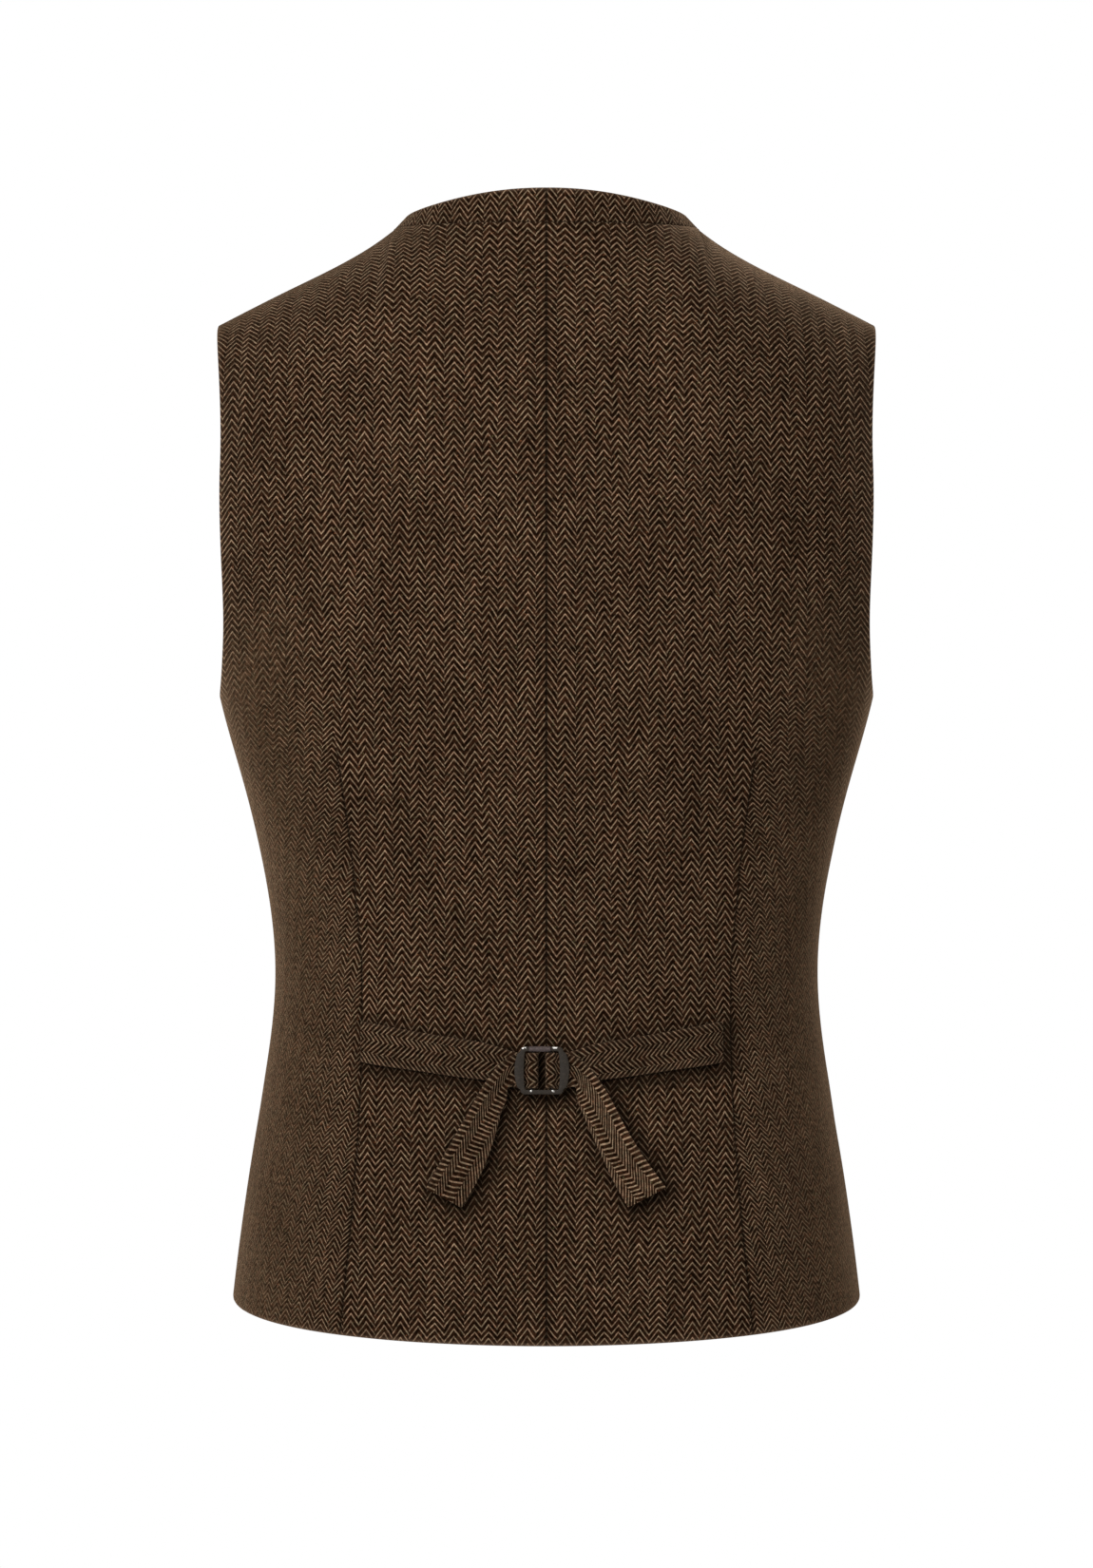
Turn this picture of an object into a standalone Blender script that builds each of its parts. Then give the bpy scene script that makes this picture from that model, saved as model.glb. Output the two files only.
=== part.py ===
"""Suit waistcoat in herringbone tweed, modelled at its real size as a hollow garment in its worn form.

Metres, +Z up. The back faces +Y, the front faces -Y and the wearer's left is +X. The origin is the
middle of the neck opening, level with the top of the shoulders, where the garment hangs. Each cut
piece is one closed wall of cloth, and neighbours are 0.3 to 0.5 mm apart at their seams.
"""

import math

import bmesh
import bpy
import numpy as np
from mathutils import Matrix, Vector

# ---------------------------------------------------------------- driving dimensions

CLOTH = 0.0025  # thickness of a panel
STRAP_CLOTH = 0.0016  # thickness of the cinch straps
HALF_SEAM = 0.0002  # each piece stops this far short of a seam line
EDGE_TURN = 0.0006  # how far the cloth turns in at an edge or seam
EDGE_BAND = 0.003  # width of that turned strip
DART_DEPTH = 0.0010  # how far the back dart sinks into the panel
LAP = 0.0037  # how far the right front lies under the left one
LAP_ENDS = (0.012, 0.045)  # distances from the centre between which the lap eases out

NECK_HALF = 0.082  # neck edge to centre, at the shoulder seam
BAND_FOOT_HALF = 0.089  # the same, at the foot of the back neck band
TIP_HALF = 0.193  # shoulder tip to centre
NECK_RISE = 0.0046  # centre back neck above the origin
NECK_DEPTH = 0.0735  # centre back neck behind the origin
BAND_FOOT_DROP = 0.0158  # foot of the band below the origin, at the centre back
BAND_FOOT_DEPTH = 0.0785
NECK_SQUARENESS = 2.15  # power of the neck's rounded outline seen from above
NECK_FALL = 3.4  # how soon the neck edge falls from the centre back
BAND_FOOT_RISE = 1.8  # how late the foot of the band rises to the shoulder

HEM_CENTRE = -0.647  # height of the hem at the centre back
HEM_SIDE = -0.632  # height of the hem at the side seam
UNDERARM = -0.286
YOKE_CENTRE = -0.120  # level where the back starts to roll over the shoulder

# The body form: half width at the side, and depth of the centre back and centre front.
FORM = (
    # height, half_width, back_depth, front_depth
    (-0.700, 0.1895, 0.1185, 0.1200),
    (-0.647, 0.1848, 0.1180, 0.1205),
    (-0.590, 0.1780, 0.1140, 0.1190),
    (-0.520, 0.1673, 0.1040, 0.1160),
    (-0.445, 0.1588, 0.0945, 0.1140),
    (-0.380, 0.1662, 0.0985, 0.1170),
    (-0.334, 0.1772, 0.1050, 0.1210),
    (-0.286, 0.1905, 0.1110, 0.1245),
    (-0.240, 0.1985, 0.1155, 0.1255),
    (-0.200, 0.2025, 0.1180, 0.1230),
    (-0.150, 0.2015, 0.1165, 0.1120),
    (-0.110, 0.1975, 0.1110, 0.0990),
)
SQUARENESS = {"back": 2.5, "front": 2.2}  # power of the section's rounded outline
LEVEL_BOW = {"back": 1.4, "front": 1.0}  # how late a level leaves its centre height
SLOPE_STEP = 0.001  # span over which the form's slope is measured

# Outer edges above the underarm: the armhole, as a share of the way from underarm to yoke.
ARMHOLE = {
    "back": (
        # share, depth, height
        (0.00, 0.000, -0.286),
        (0.15, 0.028, -0.280),
        (0.32, 0.046, -0.262),
        (0.55, 0.057, -0.230),
        (0.78, 0.060, -0.190),
        (1.00, 0.057, -0.150),
    ),
    "front": (
        (0.00, 0.000, -0.286),
        (0.15, -0.033, -0.280),
        (0.32, -0.055, -0.260),
        (0.55, -0.068, -0.226),
        (0.78, -0.072, -0.188),
        (1.00, -0.069, -0.150),
    ),
}

# The left front's free edge from its hem point, past the buttons and up the V of the neck.
FRONT_EDGE = (
    # step, across, height
    (0.00, 0.0460, -0.674),
    (0.10, 0.0200, -0.639),
    (0.20, -0.0020, -0.602),
    (0.28, -0.0095, -0.570),
    (0.45, -0.0100, -0.505),
    (0.70, -0.0100, -0.408),
    (0.88, -0.0100, -0.338),
    (1.00, -0.0065, -0.300),
    (1.35, 0.0180, -0.240),
    (1.70, 0.0400, -0.180),
    (2.00, 0.0570, -0.130),
)

# The back dart, open to the hem, and the column of cloth that carries it on to the neck.
DART = (
    # height, across
    (-0.647, 0.1165),
    (-0.592, 0.1110),
    (-0.526, 0.1060),
    (-0.463, 0.1045),
    (-0.365, 0.1115),
    (-0.290, 0.1205),
    (-0.200, 0.1170),
    (-0.110, 0.1060),
)
DART_TIP = (-0.285, -0.325)  # heights between which the dart deepens

SHOULDER = (
    # across, height
    (0.082, -0.0025),
    (0.089, -0.0085),
    (0.109, -0.0225),
    (0.150, -0.0435),
    (0.193, -0.0650),
)
SHOULDER_FORWARD = 0.003  # the seam's tip lies this far in front of its neck end

# Lean of the cloth from upright where it meets the neck or shoulder seam, in degrees.
LEAN_CENTRE = 13
LEAN_NECK = 82
LEAN_SHOULDER = 84
LEAN_EASE = 0.4  # share of the shoulder seam along which the lean changes
UNDERARM_CROWD = 1.3  # crowds the levels towards the underarm, where the armhole turns
ROLL_PULL = 1.15  # length of the roll's end tangents over its chord

BUTTON_HEIGHTS = tuple(-0.315 - 0.065 * i for i in range(5))
BUTTON_RADIUS = 0.0075
BUTTON_THICK = 0.0032
BUTTON_CLEAR = 0.0007
BUTTON_BACK_SHARE = 0.86  # radius of the button's back over that of its front
BUTTON_RIM = 0.0016  # width of the flat rim
BUTTON_SLOPE = 0.0008  # width of the slope inside the rim
BUTTON_DISH = 0.0007  # depth of the dish
BUTTON_CREASE = 35  # angle past which an edge is sharp, in degrees

BUCKLE_ACROSS = 0.0026
BUCKLE_HEIGHT = -0.4955
BUCKLE_STAND = 0.0057  # frame's middle above the back
FRAME_THICK = 0.0016
WINDOW_HALF_WIDTH = 0.0094
WINDOW_HALF_HEIGHT = 0.0108
FRAME_HALF_HEIGHT = 0.0133
FRAME_END_HALF = 0.0121  # half width at the corners
FRAME_BULGE = 0.0033  # how far the side bars swell past the corners
FRAME_CORNER = 0.0026  # radius of the frame's outer corners
WINDOW_CORNER = 0.0006
WINDOW_SWELL = 0.0006
BUCKLE_REACH = 0.017  # straps bend closely within this distance of the buckle's centre
INNER_BAR_AT = 0.0052
INNER_BAR_RADIUS = 0.0008
INNER_BAR_STAND = 0.0044
INNER_BAR_SINK = 0.0015  # how far the bars run into the frame at each end

# Each strap runs from the dart in under a side bar, turns round an inner bar and comes out as a tail.
# Columns: upper or outer edge, then lower or inner edge, as across and height from the buckle's
# centre (across grows towards the strap's own side), and the strap's stand above the back.
STRAP_IN = (
    # across_1, height_1, across_2, height_2, stand
    (0.1010, 0.0268, 0.1010, 0.0040, 0.0014),
    (0.0730, 0.0220, 0.0730, 0.0002, 0.0014),
    (0.0430, 0.0174, 0.0430, -0.0038, 0.0014),
    (0.0240, 0.0134, 0.0240, -0.0066, 0.0014),
    (0.0160, 0.0108, 0.0160, -0.0088, 0.0013),
    (0.0105, 0.0099, 0.0105, -0.0097, 0.0013),
    (0.0065, 0.0098, 0.0065, -0.0098, 0.0013),
    (0.0037, 0.0098, 0.0037, -0.0098, 0.0024),
    (0.0028, 0.0098, 0.0028, -0.0098, 0.0043),
    (0.0036, 0.0098, 0.0036, -0.0098, 0.0061),
    (0.0052, 0.0098, 0.0052, -0.0098, 0.0068),
    (0.0068, 0.0098, 0.0068, -0.0098, 0.0057),
    (0.0079, 0.0098, 0.0079, -0.0098, 0.0040),
    (0.0096, 0.0098, 0.0096, -0.0098, 0.0033),
    (0.0125, 0.0097, 0.0125, -0.0094, 0.0033),
    (0.0160, 0.0090, 0.0158, -0.0088, 0.0034),
)
STRAP_TAIL = {
    "left": (
        # across_1, height_1, across_2, height_2, stand_1, stand_2
        (0.0212, 0.0058, 0.0188, -0.0098, 0.0044, 0.0036),
        (0.0272, -0.0010, 0.0196, -0.0150, 0.0060, 0.0038),
        (0.0332, -0.0096, 0.0222, -0.0222, 0.0060, 0.0042),
        (0.0394, -0.0206, 0.0250, -0.0330, 0.0056, 0.0046),
        (0.0458, -0.0322, 0.0282, -0.0430, 0.0050, 0.0048),
        (0.0546, -0.0480, 0.0334, -0.0562, 0.0046, 0.0046),
        (0.0638, -0.0652, 0.0444, -0.0753, 0.0044, 0.0044),
    ),
    "right": (
        (0.0216, 0.0062, 0.0188, -0.0092, 0.0044, 0.0036),
        (0.0278, 0.0000, 0.0196, -0.0150, 0.0060, 0.0038),
        (0.0340, -0.0086, 0.0228, -0.0234, 0.0060, 0.0042),
        (0.0400, -0.0190, 0.0272, -0.0342, 0.0056, 0.0046),
        (0.0460, -0.0310, 0.0322, -0.0446, 0.0050, 0.0048),
        (0.0550, -0.0458, 0.0382, -0.0578, 0.0046, 0.0046),
        (0.0684, -0.0648, 0.0478, -0.0752, 0.0044, 0.0044),
    ),
}

# Rough widths of the pieces, which place the lines of their turned strips
WIDTH_TO_DART = 0.12
WIDTH_PAST_DART = 0.13
WIDTH_OF_FRONT = 0.20
WIDTH_OF_BAND = 0.12

# Mesh density
LOWER_ROWS = 15
UPPER_ROWS = 9
ROLL_ROWS = 7
DART_COLUMNS = 6
SIDE_COLUMNS = 7
FRONT_COLUMNS = 12
BAND_COLUMNS = 11
BAND_ROWS = (0, 0.15, 0.5, 0.85, 1)  # shares of the band's height
CURVE_SAMPLES = 121
STRAP_STEPS = 46
STRAP_COLUMNS = 3
STRAP_BEND_STEPS = 20
CORNER_STEPS = 4
SIDE_STEPS = 6
BAR_SIDES = 10
BUTTON_SIDES = 20

MATERIALS = {
    # colour, roughness, metallic
    "tweed": ((0.052, 0.033, 0.021, 1), 0.92, 0.0),
    "strap_tweed": ((0.060, 0.038, 0.024, 1), 0.90, 0.0),
    "gunmetal": ((0.090, 0.085, 0.080, 1), 0.38, 1.0),
    "button": ((0.030, 0.018, 0.012, 1), 0.40, 0.0),
}


# ---------------------------------------------------------------- curves and the body form


def spline(table, at):
    """The table's other columns at the given values of its first column, on a natural cubic spline."""
    rows = np.array(sorted(table), float)
    knots, values = rows[:, 0], rows[:, 1:]
    step = np.diff(knots)
    slope = np.diff(values, axis=0) / step[:, None]
    system = np.eye(len(knots))
    pull = np.zeros_like(values)
    for i in range(1, len(knots) - 1):
        system[i, i - 1 : i + 2] = step[i - 1], 2 * (step[i - 1] + step[i]), step[i]
        pull[i] = 6 * (slope[i] - slope[i - 1])
    bend = np.linalg.solve(system, pull)
    at = np.atleast_1d(np.asarray(at, float))
    i = np.clip(np.searchsorted(knots, at) - 1, 0, len(step) - 1)
    before = ((knots[i + 1] - at) / step[i])[:, None]
    after = 1 - before
    sag = (before**3 - before) * bend[i] + (after**3 - after) * bend[i + 1]
    return before * values[i] + after * values[i + 1] + sag * (step[i] ** 2)[:, None] / 6


def smoothstep(low, high, at):
    share = np.clip((at - low) / (high - low), 0, 1)
    return share * share * (3 - 2 * share)


def form_depth(height, face):
    column = 1 if face == "back" else 2
    return spline(FORM, height)[:, column]


def form_points(angle, height, face):
    """Points on the body form; angle 0 is the centre line and a right angle is the side."""
    power = 2 / SQUARENESS[face]
    half_width = spline(FORM, height)[:, 0]
    way = 1 if face == "back" else -1
    across = half_width * np.sign(np.sin(angle)) * np.abs(np.sin(angle)) ** power
    depth = way * form_depth(height, face) * np.abs(np.cos(angle)) ** power
    return np.stack([across, depth, height], axis=-1)


def angle_at_width(across, height, face):
    share = abs(across) / spline(FORM, height)[0, 0]
    return math.copysign(math.asin(share ** (SQUARENESS[face] / 2)), across)


def angle_at_depth(depth, height, face):
    share = abs(depth) / form_depth(height, face)[0]
    return math.acos(share ** (SQUARENESS[face] / 2))


def level(face, inner, outer):
    """One level across a panel, from the inner edge (across, height) to the outer (depth, height)."""
    share = np.linspace(0, 1, CURVE_SAMPLES)
    start = angle_at_width(*inner, face)
    end = angle_at_depth(*outer, face)
    height = inner[1] + (outer[1] - inner[1]) * share ** LEVEL_BOW[face]
    return form_points(start + (end - start) * share, height, face)


def lengths(curve):
    return np.concatenate([[0], np.cumsum(np.linalg.norm(np.diff(curve, axis=0), axis=1))])


def at_shares(curve, shares):
    """Points of the curve at shares of its length."""
    run = lengths(curve)
    return np.stack([np.interp(shares * run[-1], run, axis) for axis in curve.T], axis=-1)


def shares_with_edges(count, length, ends):
    """Even shares of a length, with a turned strip's line beside each end named in ends."""
    shares = list(np.linspace(0, 1, count + 1))
    if "start" in ends:
        shares.insert(1, EDGE_BAND / length)
    if "end" in ends:
        shares.insert(-1, 1 - EDGE_BAND / length)
    return np.array(shares)


# ---------------------------------------------------------------- seam lines shared by the pieces


def shoulder_seam(shares, inner_half):
    """The shoulder seam, from a neck end to the tip."""
    across = inner_half + (TIP_HALF - inner_half) * shares
    height = spline(SHOULDER, across)[:, 0]
    depth = -SHOULDER_FORWARD * (across - NECK_HALF) / (TIP_HALF - NECK_HALF)
    return np.stack([across, depth, height], axis=-1)


def neck_plan(shares, side, depth):
    """Across and depth of a quarter neck curve, from the centre back to a point on the shoulder seam."""
    power = 2 / NECK_SQUARENESS
    angle = shares * math.pi / 2
    across = side[0] * np.sin(angle) ** power
    return across, side[1] + (depth - side[1]) * np.abs(np.cos(angle)) ** power


def neck_edge(shares):
    side = shoulder_seam(np.array([0.0]), NECK_HALF)[0]
    across, depth = neck_plan(shares, side, NECK_DEPTH)
    fall = np.abs(np.cos(shares * math.pi / 2)) ** NECK_FALL
    return np.stack([across, depth, side[2] + (NECK_RISE - side[2]) * fall], axis=-1)


def band_foot(shares):
    side = shoulder_seam(np.array([0.0]), BAND_FOOT_HALF)[0]
    across, depth = neck_plan(shares, side, BAND_FOOT_DEPTH)
    height = -BAND_FOOT_DROP + (side[2] + BAND_FOOT_DROP) * shares**BAND_FOOT_RISE
    return np.stack([across, depth, height], axis=-1)


# ---------------------------------------------------------------- panels as grids of points


def normals(grid, face):
    """Outward directions on a panel's grid, whose rows go up and whose columns go outwards."""
    up = np.gradient(grid, axis=0)
    out = np.gradient(grid, axis=1)
    way = np.cross(up, out) if face == "back" else np.cross(out, up)
    return way / np.linalg.norm(way, axis=-1, keepdims=True)


def turn_edges(grid, face):
    """Turns the cloth in a little all round its edge."""
    depth = np.zeros(grid.shape[:2])
    depth[[0, -1], :] = EDGE_TURN
    depth[:, [0, -1]] = EDGE_TURN
    return grid - normals(grid, face) * depth[..., None]


def roll_over(grid, top, lean, way):
    """Rows that carry the panel on from its last level to the seam on the shoulder or neck."""
    last = grid[-1]
    climb = last - grid[-2]
    climb /= np.linalg.norm(climb, axis=1, keepdims=True)
    finish = np.stack([np.zeros_like(lean), way * np.sin(lean), np.cos(lean)], axis=-1)
    chord = np.linalg.norm(top - last, axis=1, keepdims=True) * ROLL_PULL
    shares = shares_with_edges(ROLL_ROWS, chord.mean(), ("end",))[1:]
    rows = []
    for t in shares:
        rows.append(
            (2 * t**3 - 3 * t**2 + 1) * last
            + (t**3 - 2 * t**2 + t) * chord * climb
            + (3 * t**2 - 2 * t**3) * top
            + (t**3 - t**2) * chord * finish
        )
    return np.concatenate([grid, rows])


def back_levels():
    """Inner and outer ends of the back's levels, from the hem up to the yoke."""
    height = abs(HEM_CENTRE - UNDERARM)
    for share in shares_with_edges(LOWER_ROWS, height, ("start",)):
        inner = HEM_CENTRE + (UNDERARM - HEM_CENTRE) * share
        outer = HEM_SIDE + (UNDERARM - HEM_SIDE) * share
        yield (0.0, inner), (HALF_SEAM, outer)
    for share in np.linspace(0, 1, UPPER_ROWS + 1)[1:] ** UNDERARM_CROWD:
        depth, outer = spline(ARMHOLE["back"], share)[0]
        inner = UNDERARM + (YOKE_CENTRE - UNDERARM) * share
        yield (0.0, inner), (depth, outer)


def dart_share(curve):
    """Share of a level's length at which the dart's column crosses it."""
    across = spline(DART, np.clip(curve[:, 2], DART[0][0], DART[-1][0]))[:, 0]
    nearest = np.argmin(np.abs(curve[:, 0] - across))
    return lengths(curve)[nearest] / lengths(curve)[-1]


def back_grid():
    inner_steps = shares_with_edges(DART_COLUMNS, WIDTH_TO_DART, ("start", "end"))
    outer_steps = shares_with_edges(SIDE_COLUMNS, WIDTH_PAST_DART, ("start", "end"))[1:]
    rows = []
    for inner, outer in back_levels():
        curve = level("back", inner, outer)
        dart = dart_share(curve)
        shares = np.concatenate([dart * inner_steps, dart + (1 - dart) * outer_steps])
        rows.append(at_shares(curve, shares))
    neck = band_foot(inner_steps)
    neck[:, 2] -= HALF_SEAM
    shoulder = shoulder_seam(outer_steps, BAND_FOOT_HALF)
    top = np.concatenate([neck, shoulder])
    top[:, 1] += HALF_SEAM
    lean_in = LEAN_CENTRE + (LEAN_NECK - LEAN_CENTRE) * smoothstep(0, 1, inner_steps)
    lean_out = LEAN_NECK + (LEAN_SHOULDER - LEAN_NECK) * smoothstep(0, LEAN_EASE, outer_steps)
    lean = np.radians(np.concatenate([lean_in, lean_out]))
    grid = roll_over(np.array(rows), top, lean, -1)
    grid = turn_edges(grid, "back")
    column = len(inner_steps) - 1
    sink = DART_DEPTH * smoothstep(DART_TIP[0], DART_TIP[1], grid[:, column, 2])
    grid[:, column] -= normals(grid, "back")[:, column] * sink[:, None]
    grid[:, 0, 0] = HALF_SEAM
    return grid


def front_levels():
    height = abs(HEM_SIDE - UNDERARM)
    for share in shares_with_edges(LOWER_ROWS, height, ("start",)):
        outer = HEM_SIDE + (UNDERARM - HEM_SIDE) * share
        yield tuple(spline(FRONT_EDGE, share)[0]), (-HALF_SEAM, outer)
    for share in np.linspace(0, 1, UPPER_ROWS + 1)[1:] ** UNDERARM_CROWD:
        yield tuple(spline(FRONT_EDGE, 1 + share)[0]), tuple(spline(ARMHOLE["front"], share)[0])


def front_grid(laps_under):
    steps = shares_with_edges(FRONT_COLUMNS, WIDTH_OF_FRONT, ("start", "end"))
    rows = [at_shares(level("front", *ends), steps) for ends in front_levels()]
    top = shoulder_seam(steps, NECK_HALF)
    top[:, 1] -= HALF_SEAM
    lean = LEAN_NECK + (LEAN_SHOULDER - LEAN_NECK) * smoothstep(0, LEAN_EASE, steps)
    grid = roll_over(np.array(rows), top, np.radians(lean), 1)
    grid = turn_edges(grid, "front")
    if laps_under:
        grid[..., 1] += LAP * (1 - smoothstep(*LAP_ENDS, grid[..., 0]))
    return grid


def band_grid():
    """The back neck band, from its foot up to the neck edge."""
    shares = shares_with_edges(BAND_COLUMNS, WIDTH_OF_BAND, ("start", "end"))
    foot = band_foot(shares)
    foot[:, 2] += HALF_SEAM
    top = neck_edge(shares)
    foot[:, 1] += 2 * HALF_SEAM
    top[:, 1] += 2 * HALF_SEAM
    rows = [foot + (top - foot) * t for t in BAND_ROWS]
    grid = turn_edges(np.array(rows), "back")
    grid[:, 0, 0] = HALF_SEAM
    return grid


# ---------------------------------------------------------------- straps


def back_depth_at(across, height):
    power = SQUARENESS["back"]
    half_width, depth, _ = spline(FORM, height)[0]
    return depth * (1 - min(abs(across) / half_width, 1.0) ** power) ** (1 / power)


def back_surface(across, height):
    """Point and outward direction of the back's outer surface."""
    half = SLOPE_STEP / 2
    rise_across = back_depth_at(across + half, height) - back_depth_at(across - half, height)
    rise_up = back_depth_at(across, height + half) - back_depth_at(across, height - half)
    out = Vector((-rise_across, SLOPE_STEP, -rise_up)).normalized()
    return Vector((across, back_depth_at(across, height), height)), out


def raised(across, height, stand):
    point, out = back_surface(across, height)
    return np.array(point + out * stand)


def strap_steps(run, inside):
    """Steps along a strap, crowded where it bends through the buckle."""
    first, last = run[inside][[0, -1]]
    ends = (STRAP_STEPS - STRAP_BEND_STEPS) // 2
    before = np.linspace(0, first, ends)
    bend = np.linspace(first, last, STRAP_BEND_STEPS + 1)[1:]
    after = np.linspace(last, run[-1], ends + 1)[1:]
    return np.concatenate([before, bend, after])


def strap_grid(side):
    """A strap's middle surface: rows follow its length and columns cross it."""
    way = 1 if side == "left" else -1
    table = np.array([(*row, row[4]) for row in STRAP_IN] + list(STRAP_TAIL[side]))
    across_1, height_1, across_2, height_2, stand_1, stand_2 = table.T
    middle = np.stack([(across_1 + across_2) / 2, (height_1 + height_2) / 2, stand_1], axis=-1)
    run = lengths(middle)
    knots = [(step, *row) for step, row in zip(run, table)]
    first = [0, 1, 4]
    second = [2, 3, 5]
    grid = []
    for row in spline(knots, strap_steps(run, across_1 < BUCKLE_REACH)):
        line = []
        for share in np.linspace(0, 1, STRAP_COLUMNS + 1):
            across, height, stand = row[first] + (row[second] - row[first]) * share
            line.append(raised(BUCKLE_ACROSS + way * across, BUCKLE_HEIGHT + height, stand))
        grid.append(line)
    return np.array(grid)


# ---------------------------------------------------------------- objects


def clear_scene():
    for obj in list(bpy.data.objects):
        bpy.data.objects.remove(obj, do_unlink=True)


def material(name):
    made = bpy.data.materials.get(name)
    if made:
        return made
    colour, roughness, metallic = MATERIALS[name]
    made = bpy.data.materials.new(name)
    made.use_nodes = True
    shader = made.node_tree.nodes["Principled BSDF"]
    shader.inputs["Base Color"].default_value = colour
    shader.inputs["Roughness"].default_value = roughness
    shader.inputs["Metallic"].default_value = metallic
    made.diffuse_color = colour
    return made


def new_object(name, bm, material_name):
    mesh = bpy.data.meshes.new(name)
    bm.to_mesh(mesh)
    bm.free()
    mesh.materials.append(material(material_name))
    obj = bpy.data.objects.new(name, mesh)
    bpy.context.scene.collection.objects.link(obj)
    return obj


def cloth_piece(name, grid, outward, thickness, centred, material_name):
    """A wall of cloth over a grid of points; outward is a rough direction of its outer side."""
    rows, columns = grid.shape[:2]
    bm = bmesh.new()
    bmesh.ops.create_grid(bm, x_segments=columns - 1, y_segments=rows - 1, size=1)
    bm.verts.ensure_lookup_table()
    for vert, point in zip(bm.verts, grid.reshape(-1, 3)):
        vert.co = point
    bm.normal_update()
    bm.faces.ensure_lookup_table()
    middle = bm.faces[len(bm.faces) // 2 + columns // 2]
    if middle.normal.dot(Vector(outward)) < 0:
        bmesh.ops.reverse_faces(bm, faces=bm.faces[:])
    obj = new_object(name, bm, material_name)
    obj.data.shade_smooth()
    wall = obj.modifiers.new("wall", "SOLIDIFY")
    wall.thickness = thickness
    wall.offset = 0 if centred else -1
    return obj


def mirrored(grid):
    return grid * np.array([-1, 1, 1])


def make_panels():
    back = back_grid()
    cloth_piece("back_left", back, (0, 1, 0), CLOTH, False, "tweed")
    cloth_piece("back_right", mirrored(back), (0, 1, 0), CLOTH, False, "tweed")
    cloth_piece("front_left", front_grid(False), (0, -1, 0), CLOTH, False, "tweed")
    cloth_piece("front_right", mirrored(front_grid(True)), (0, -1, 0), CLOTH, False, "tweed")
    band = band_grid()
    cloth_piece("neck_band_left", band, (0.5, 1, 0), CLOTH, False, "tweed")
    cloth_piece("neck_band_right", mirrored(band), (-0.5, 1, 0), CLOTH, False, "tweed")


def make_straps():
    for side in ("left", "right"):
        grid = strap_grid(side)
        cloth_piece(f"strap_{side}", grid, (0, 1, 0), STRAP_CLOTH, True, "strap_tweed")


def button_mesh():
    """A plain turned button, its back on z = 0."""
    bm = bmesh.new()
    bmesh.ops.create_cone(
        bm,
        cap_ends=True,
        segments=BUTTON_SIDES,
        radius1=BUTTON_RADIUS * BUTTON_BACK_SHARE,
        radius2=BUTTON_RADIUS,
        depth=BUTTON_THICK,
        matrix=Matrix.Translation((0, 0, BUTTON_THICK / 2)),
    )
    face = max(bm.faces, key=lambda f: f.calc_center_median().z)
    bmesh.ops.inset_region(bm, faces=[face], thickness=BUTTON_RIM, depth=0)
    bmesh.ops.inset_region(bm, faces=[face], thickness=BUTTON_SLOPE, depth=-BUTTON_DISH)
    mesh = bpy.data.meshes.new("button")
    bm.to_mesh(mesh)
    bm.free()
    mesh.materials.append(material("button"))
    mesh.shade_smooth()
    mesh.set_sharp_from_angle(angle=math.radians(BUTTON_CREASE))
    return mesh


def make_buttons():
    mesh = button_mesh()
    for number, height in enumerate(BUTTON_HEIGHTS, 1):
        obj = bpy.data.objects.new(f"button_{number}", mesh)
        bpy.context.scene.collection.objects.link(obj)
        obj.location = (0, -form_depth(height, "front")[0] - BUTTON_CLEAR, height)
        obj.rotation_euler = (math.radians(90), 0, 0)


def rounded_corner(sign_across, sign_height, half_width, half_height, radius):
    """The arc of one corner, running counter-clockwise round the frame."""
    start = math.atan2(sign_height, sign_across) - math.pi / 4
    for step in range(CORNER_STEPS + 1):
        angle = start + math.pi / 2 * step / CORNER_STEPS
        across = sign_across * (half_width - radius) + radius * math.cos(angle)
        height = sign_height * (half_height - radius) + radius * math.sin(angle)
        yield across, height


def frame_outline(half_width, half_height, radius, swell):
    """A rounded oblong whose two upright sides swell outwards, counter-clockwise."""
    points = []
    straight = half_height - radius
    for sign_across, sign_height in ((1, 1), (-1, 1), (-1, -1), (1, -1)):
        points += rounded_corner(sign_across, sign_height, half_width, half_height, radius)
        if sign_across != sign_height:
            for step in range(1, SIDE_STEPS):
                height = sign_height * straight * (1 - 2 * step / SIDE_STEPS)
                reach = half_width + swell * (1 - (height / half_height) ** 2)
                points.append((sign_across * reach, height))
    return points


def ring_of_edges(bm, outline):
    verts = [bm.verts.new((across, height, -FRAME_THICK / 2)) for across, height in outline]
    for first, second in zip(verts, verts[1:] + verts[:1]):
        bm.edges.new((first, second))


def frame_plate():
    """The flat ring of the buckle, in the XY plane."""
    bm = bmesh.new()
    ring_of_edges(bm, frame_outline(FRAME_END_HALF, FRAME_HALF_HEIGHT, FRAME_CORNER, FRAME_BULGE))
    ring_of_edges(bm, frame_outline(WINDOW_HALF_WIDTH, WINDOW_HALF_HEIGHT, WINDOW_CORNER, WINDOW_SWELL))
    bmesh.ops.bridge_loops(bm, edges=bm.edges[:])
    lifted = bmesh.ops.extrude_face_region(bm, geom=bm.faces[:])["geom"]
    top = [item for item in lifted if isinstance(item, bmesh.types.BMVert)]
    bmesh.ops.translate(bm, verts=top, vec=(0, 0, FRAME_THICK))
    bmesh.ops.recalc_face_normals(bm, faces=bm.faces[:])
    return bm


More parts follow.
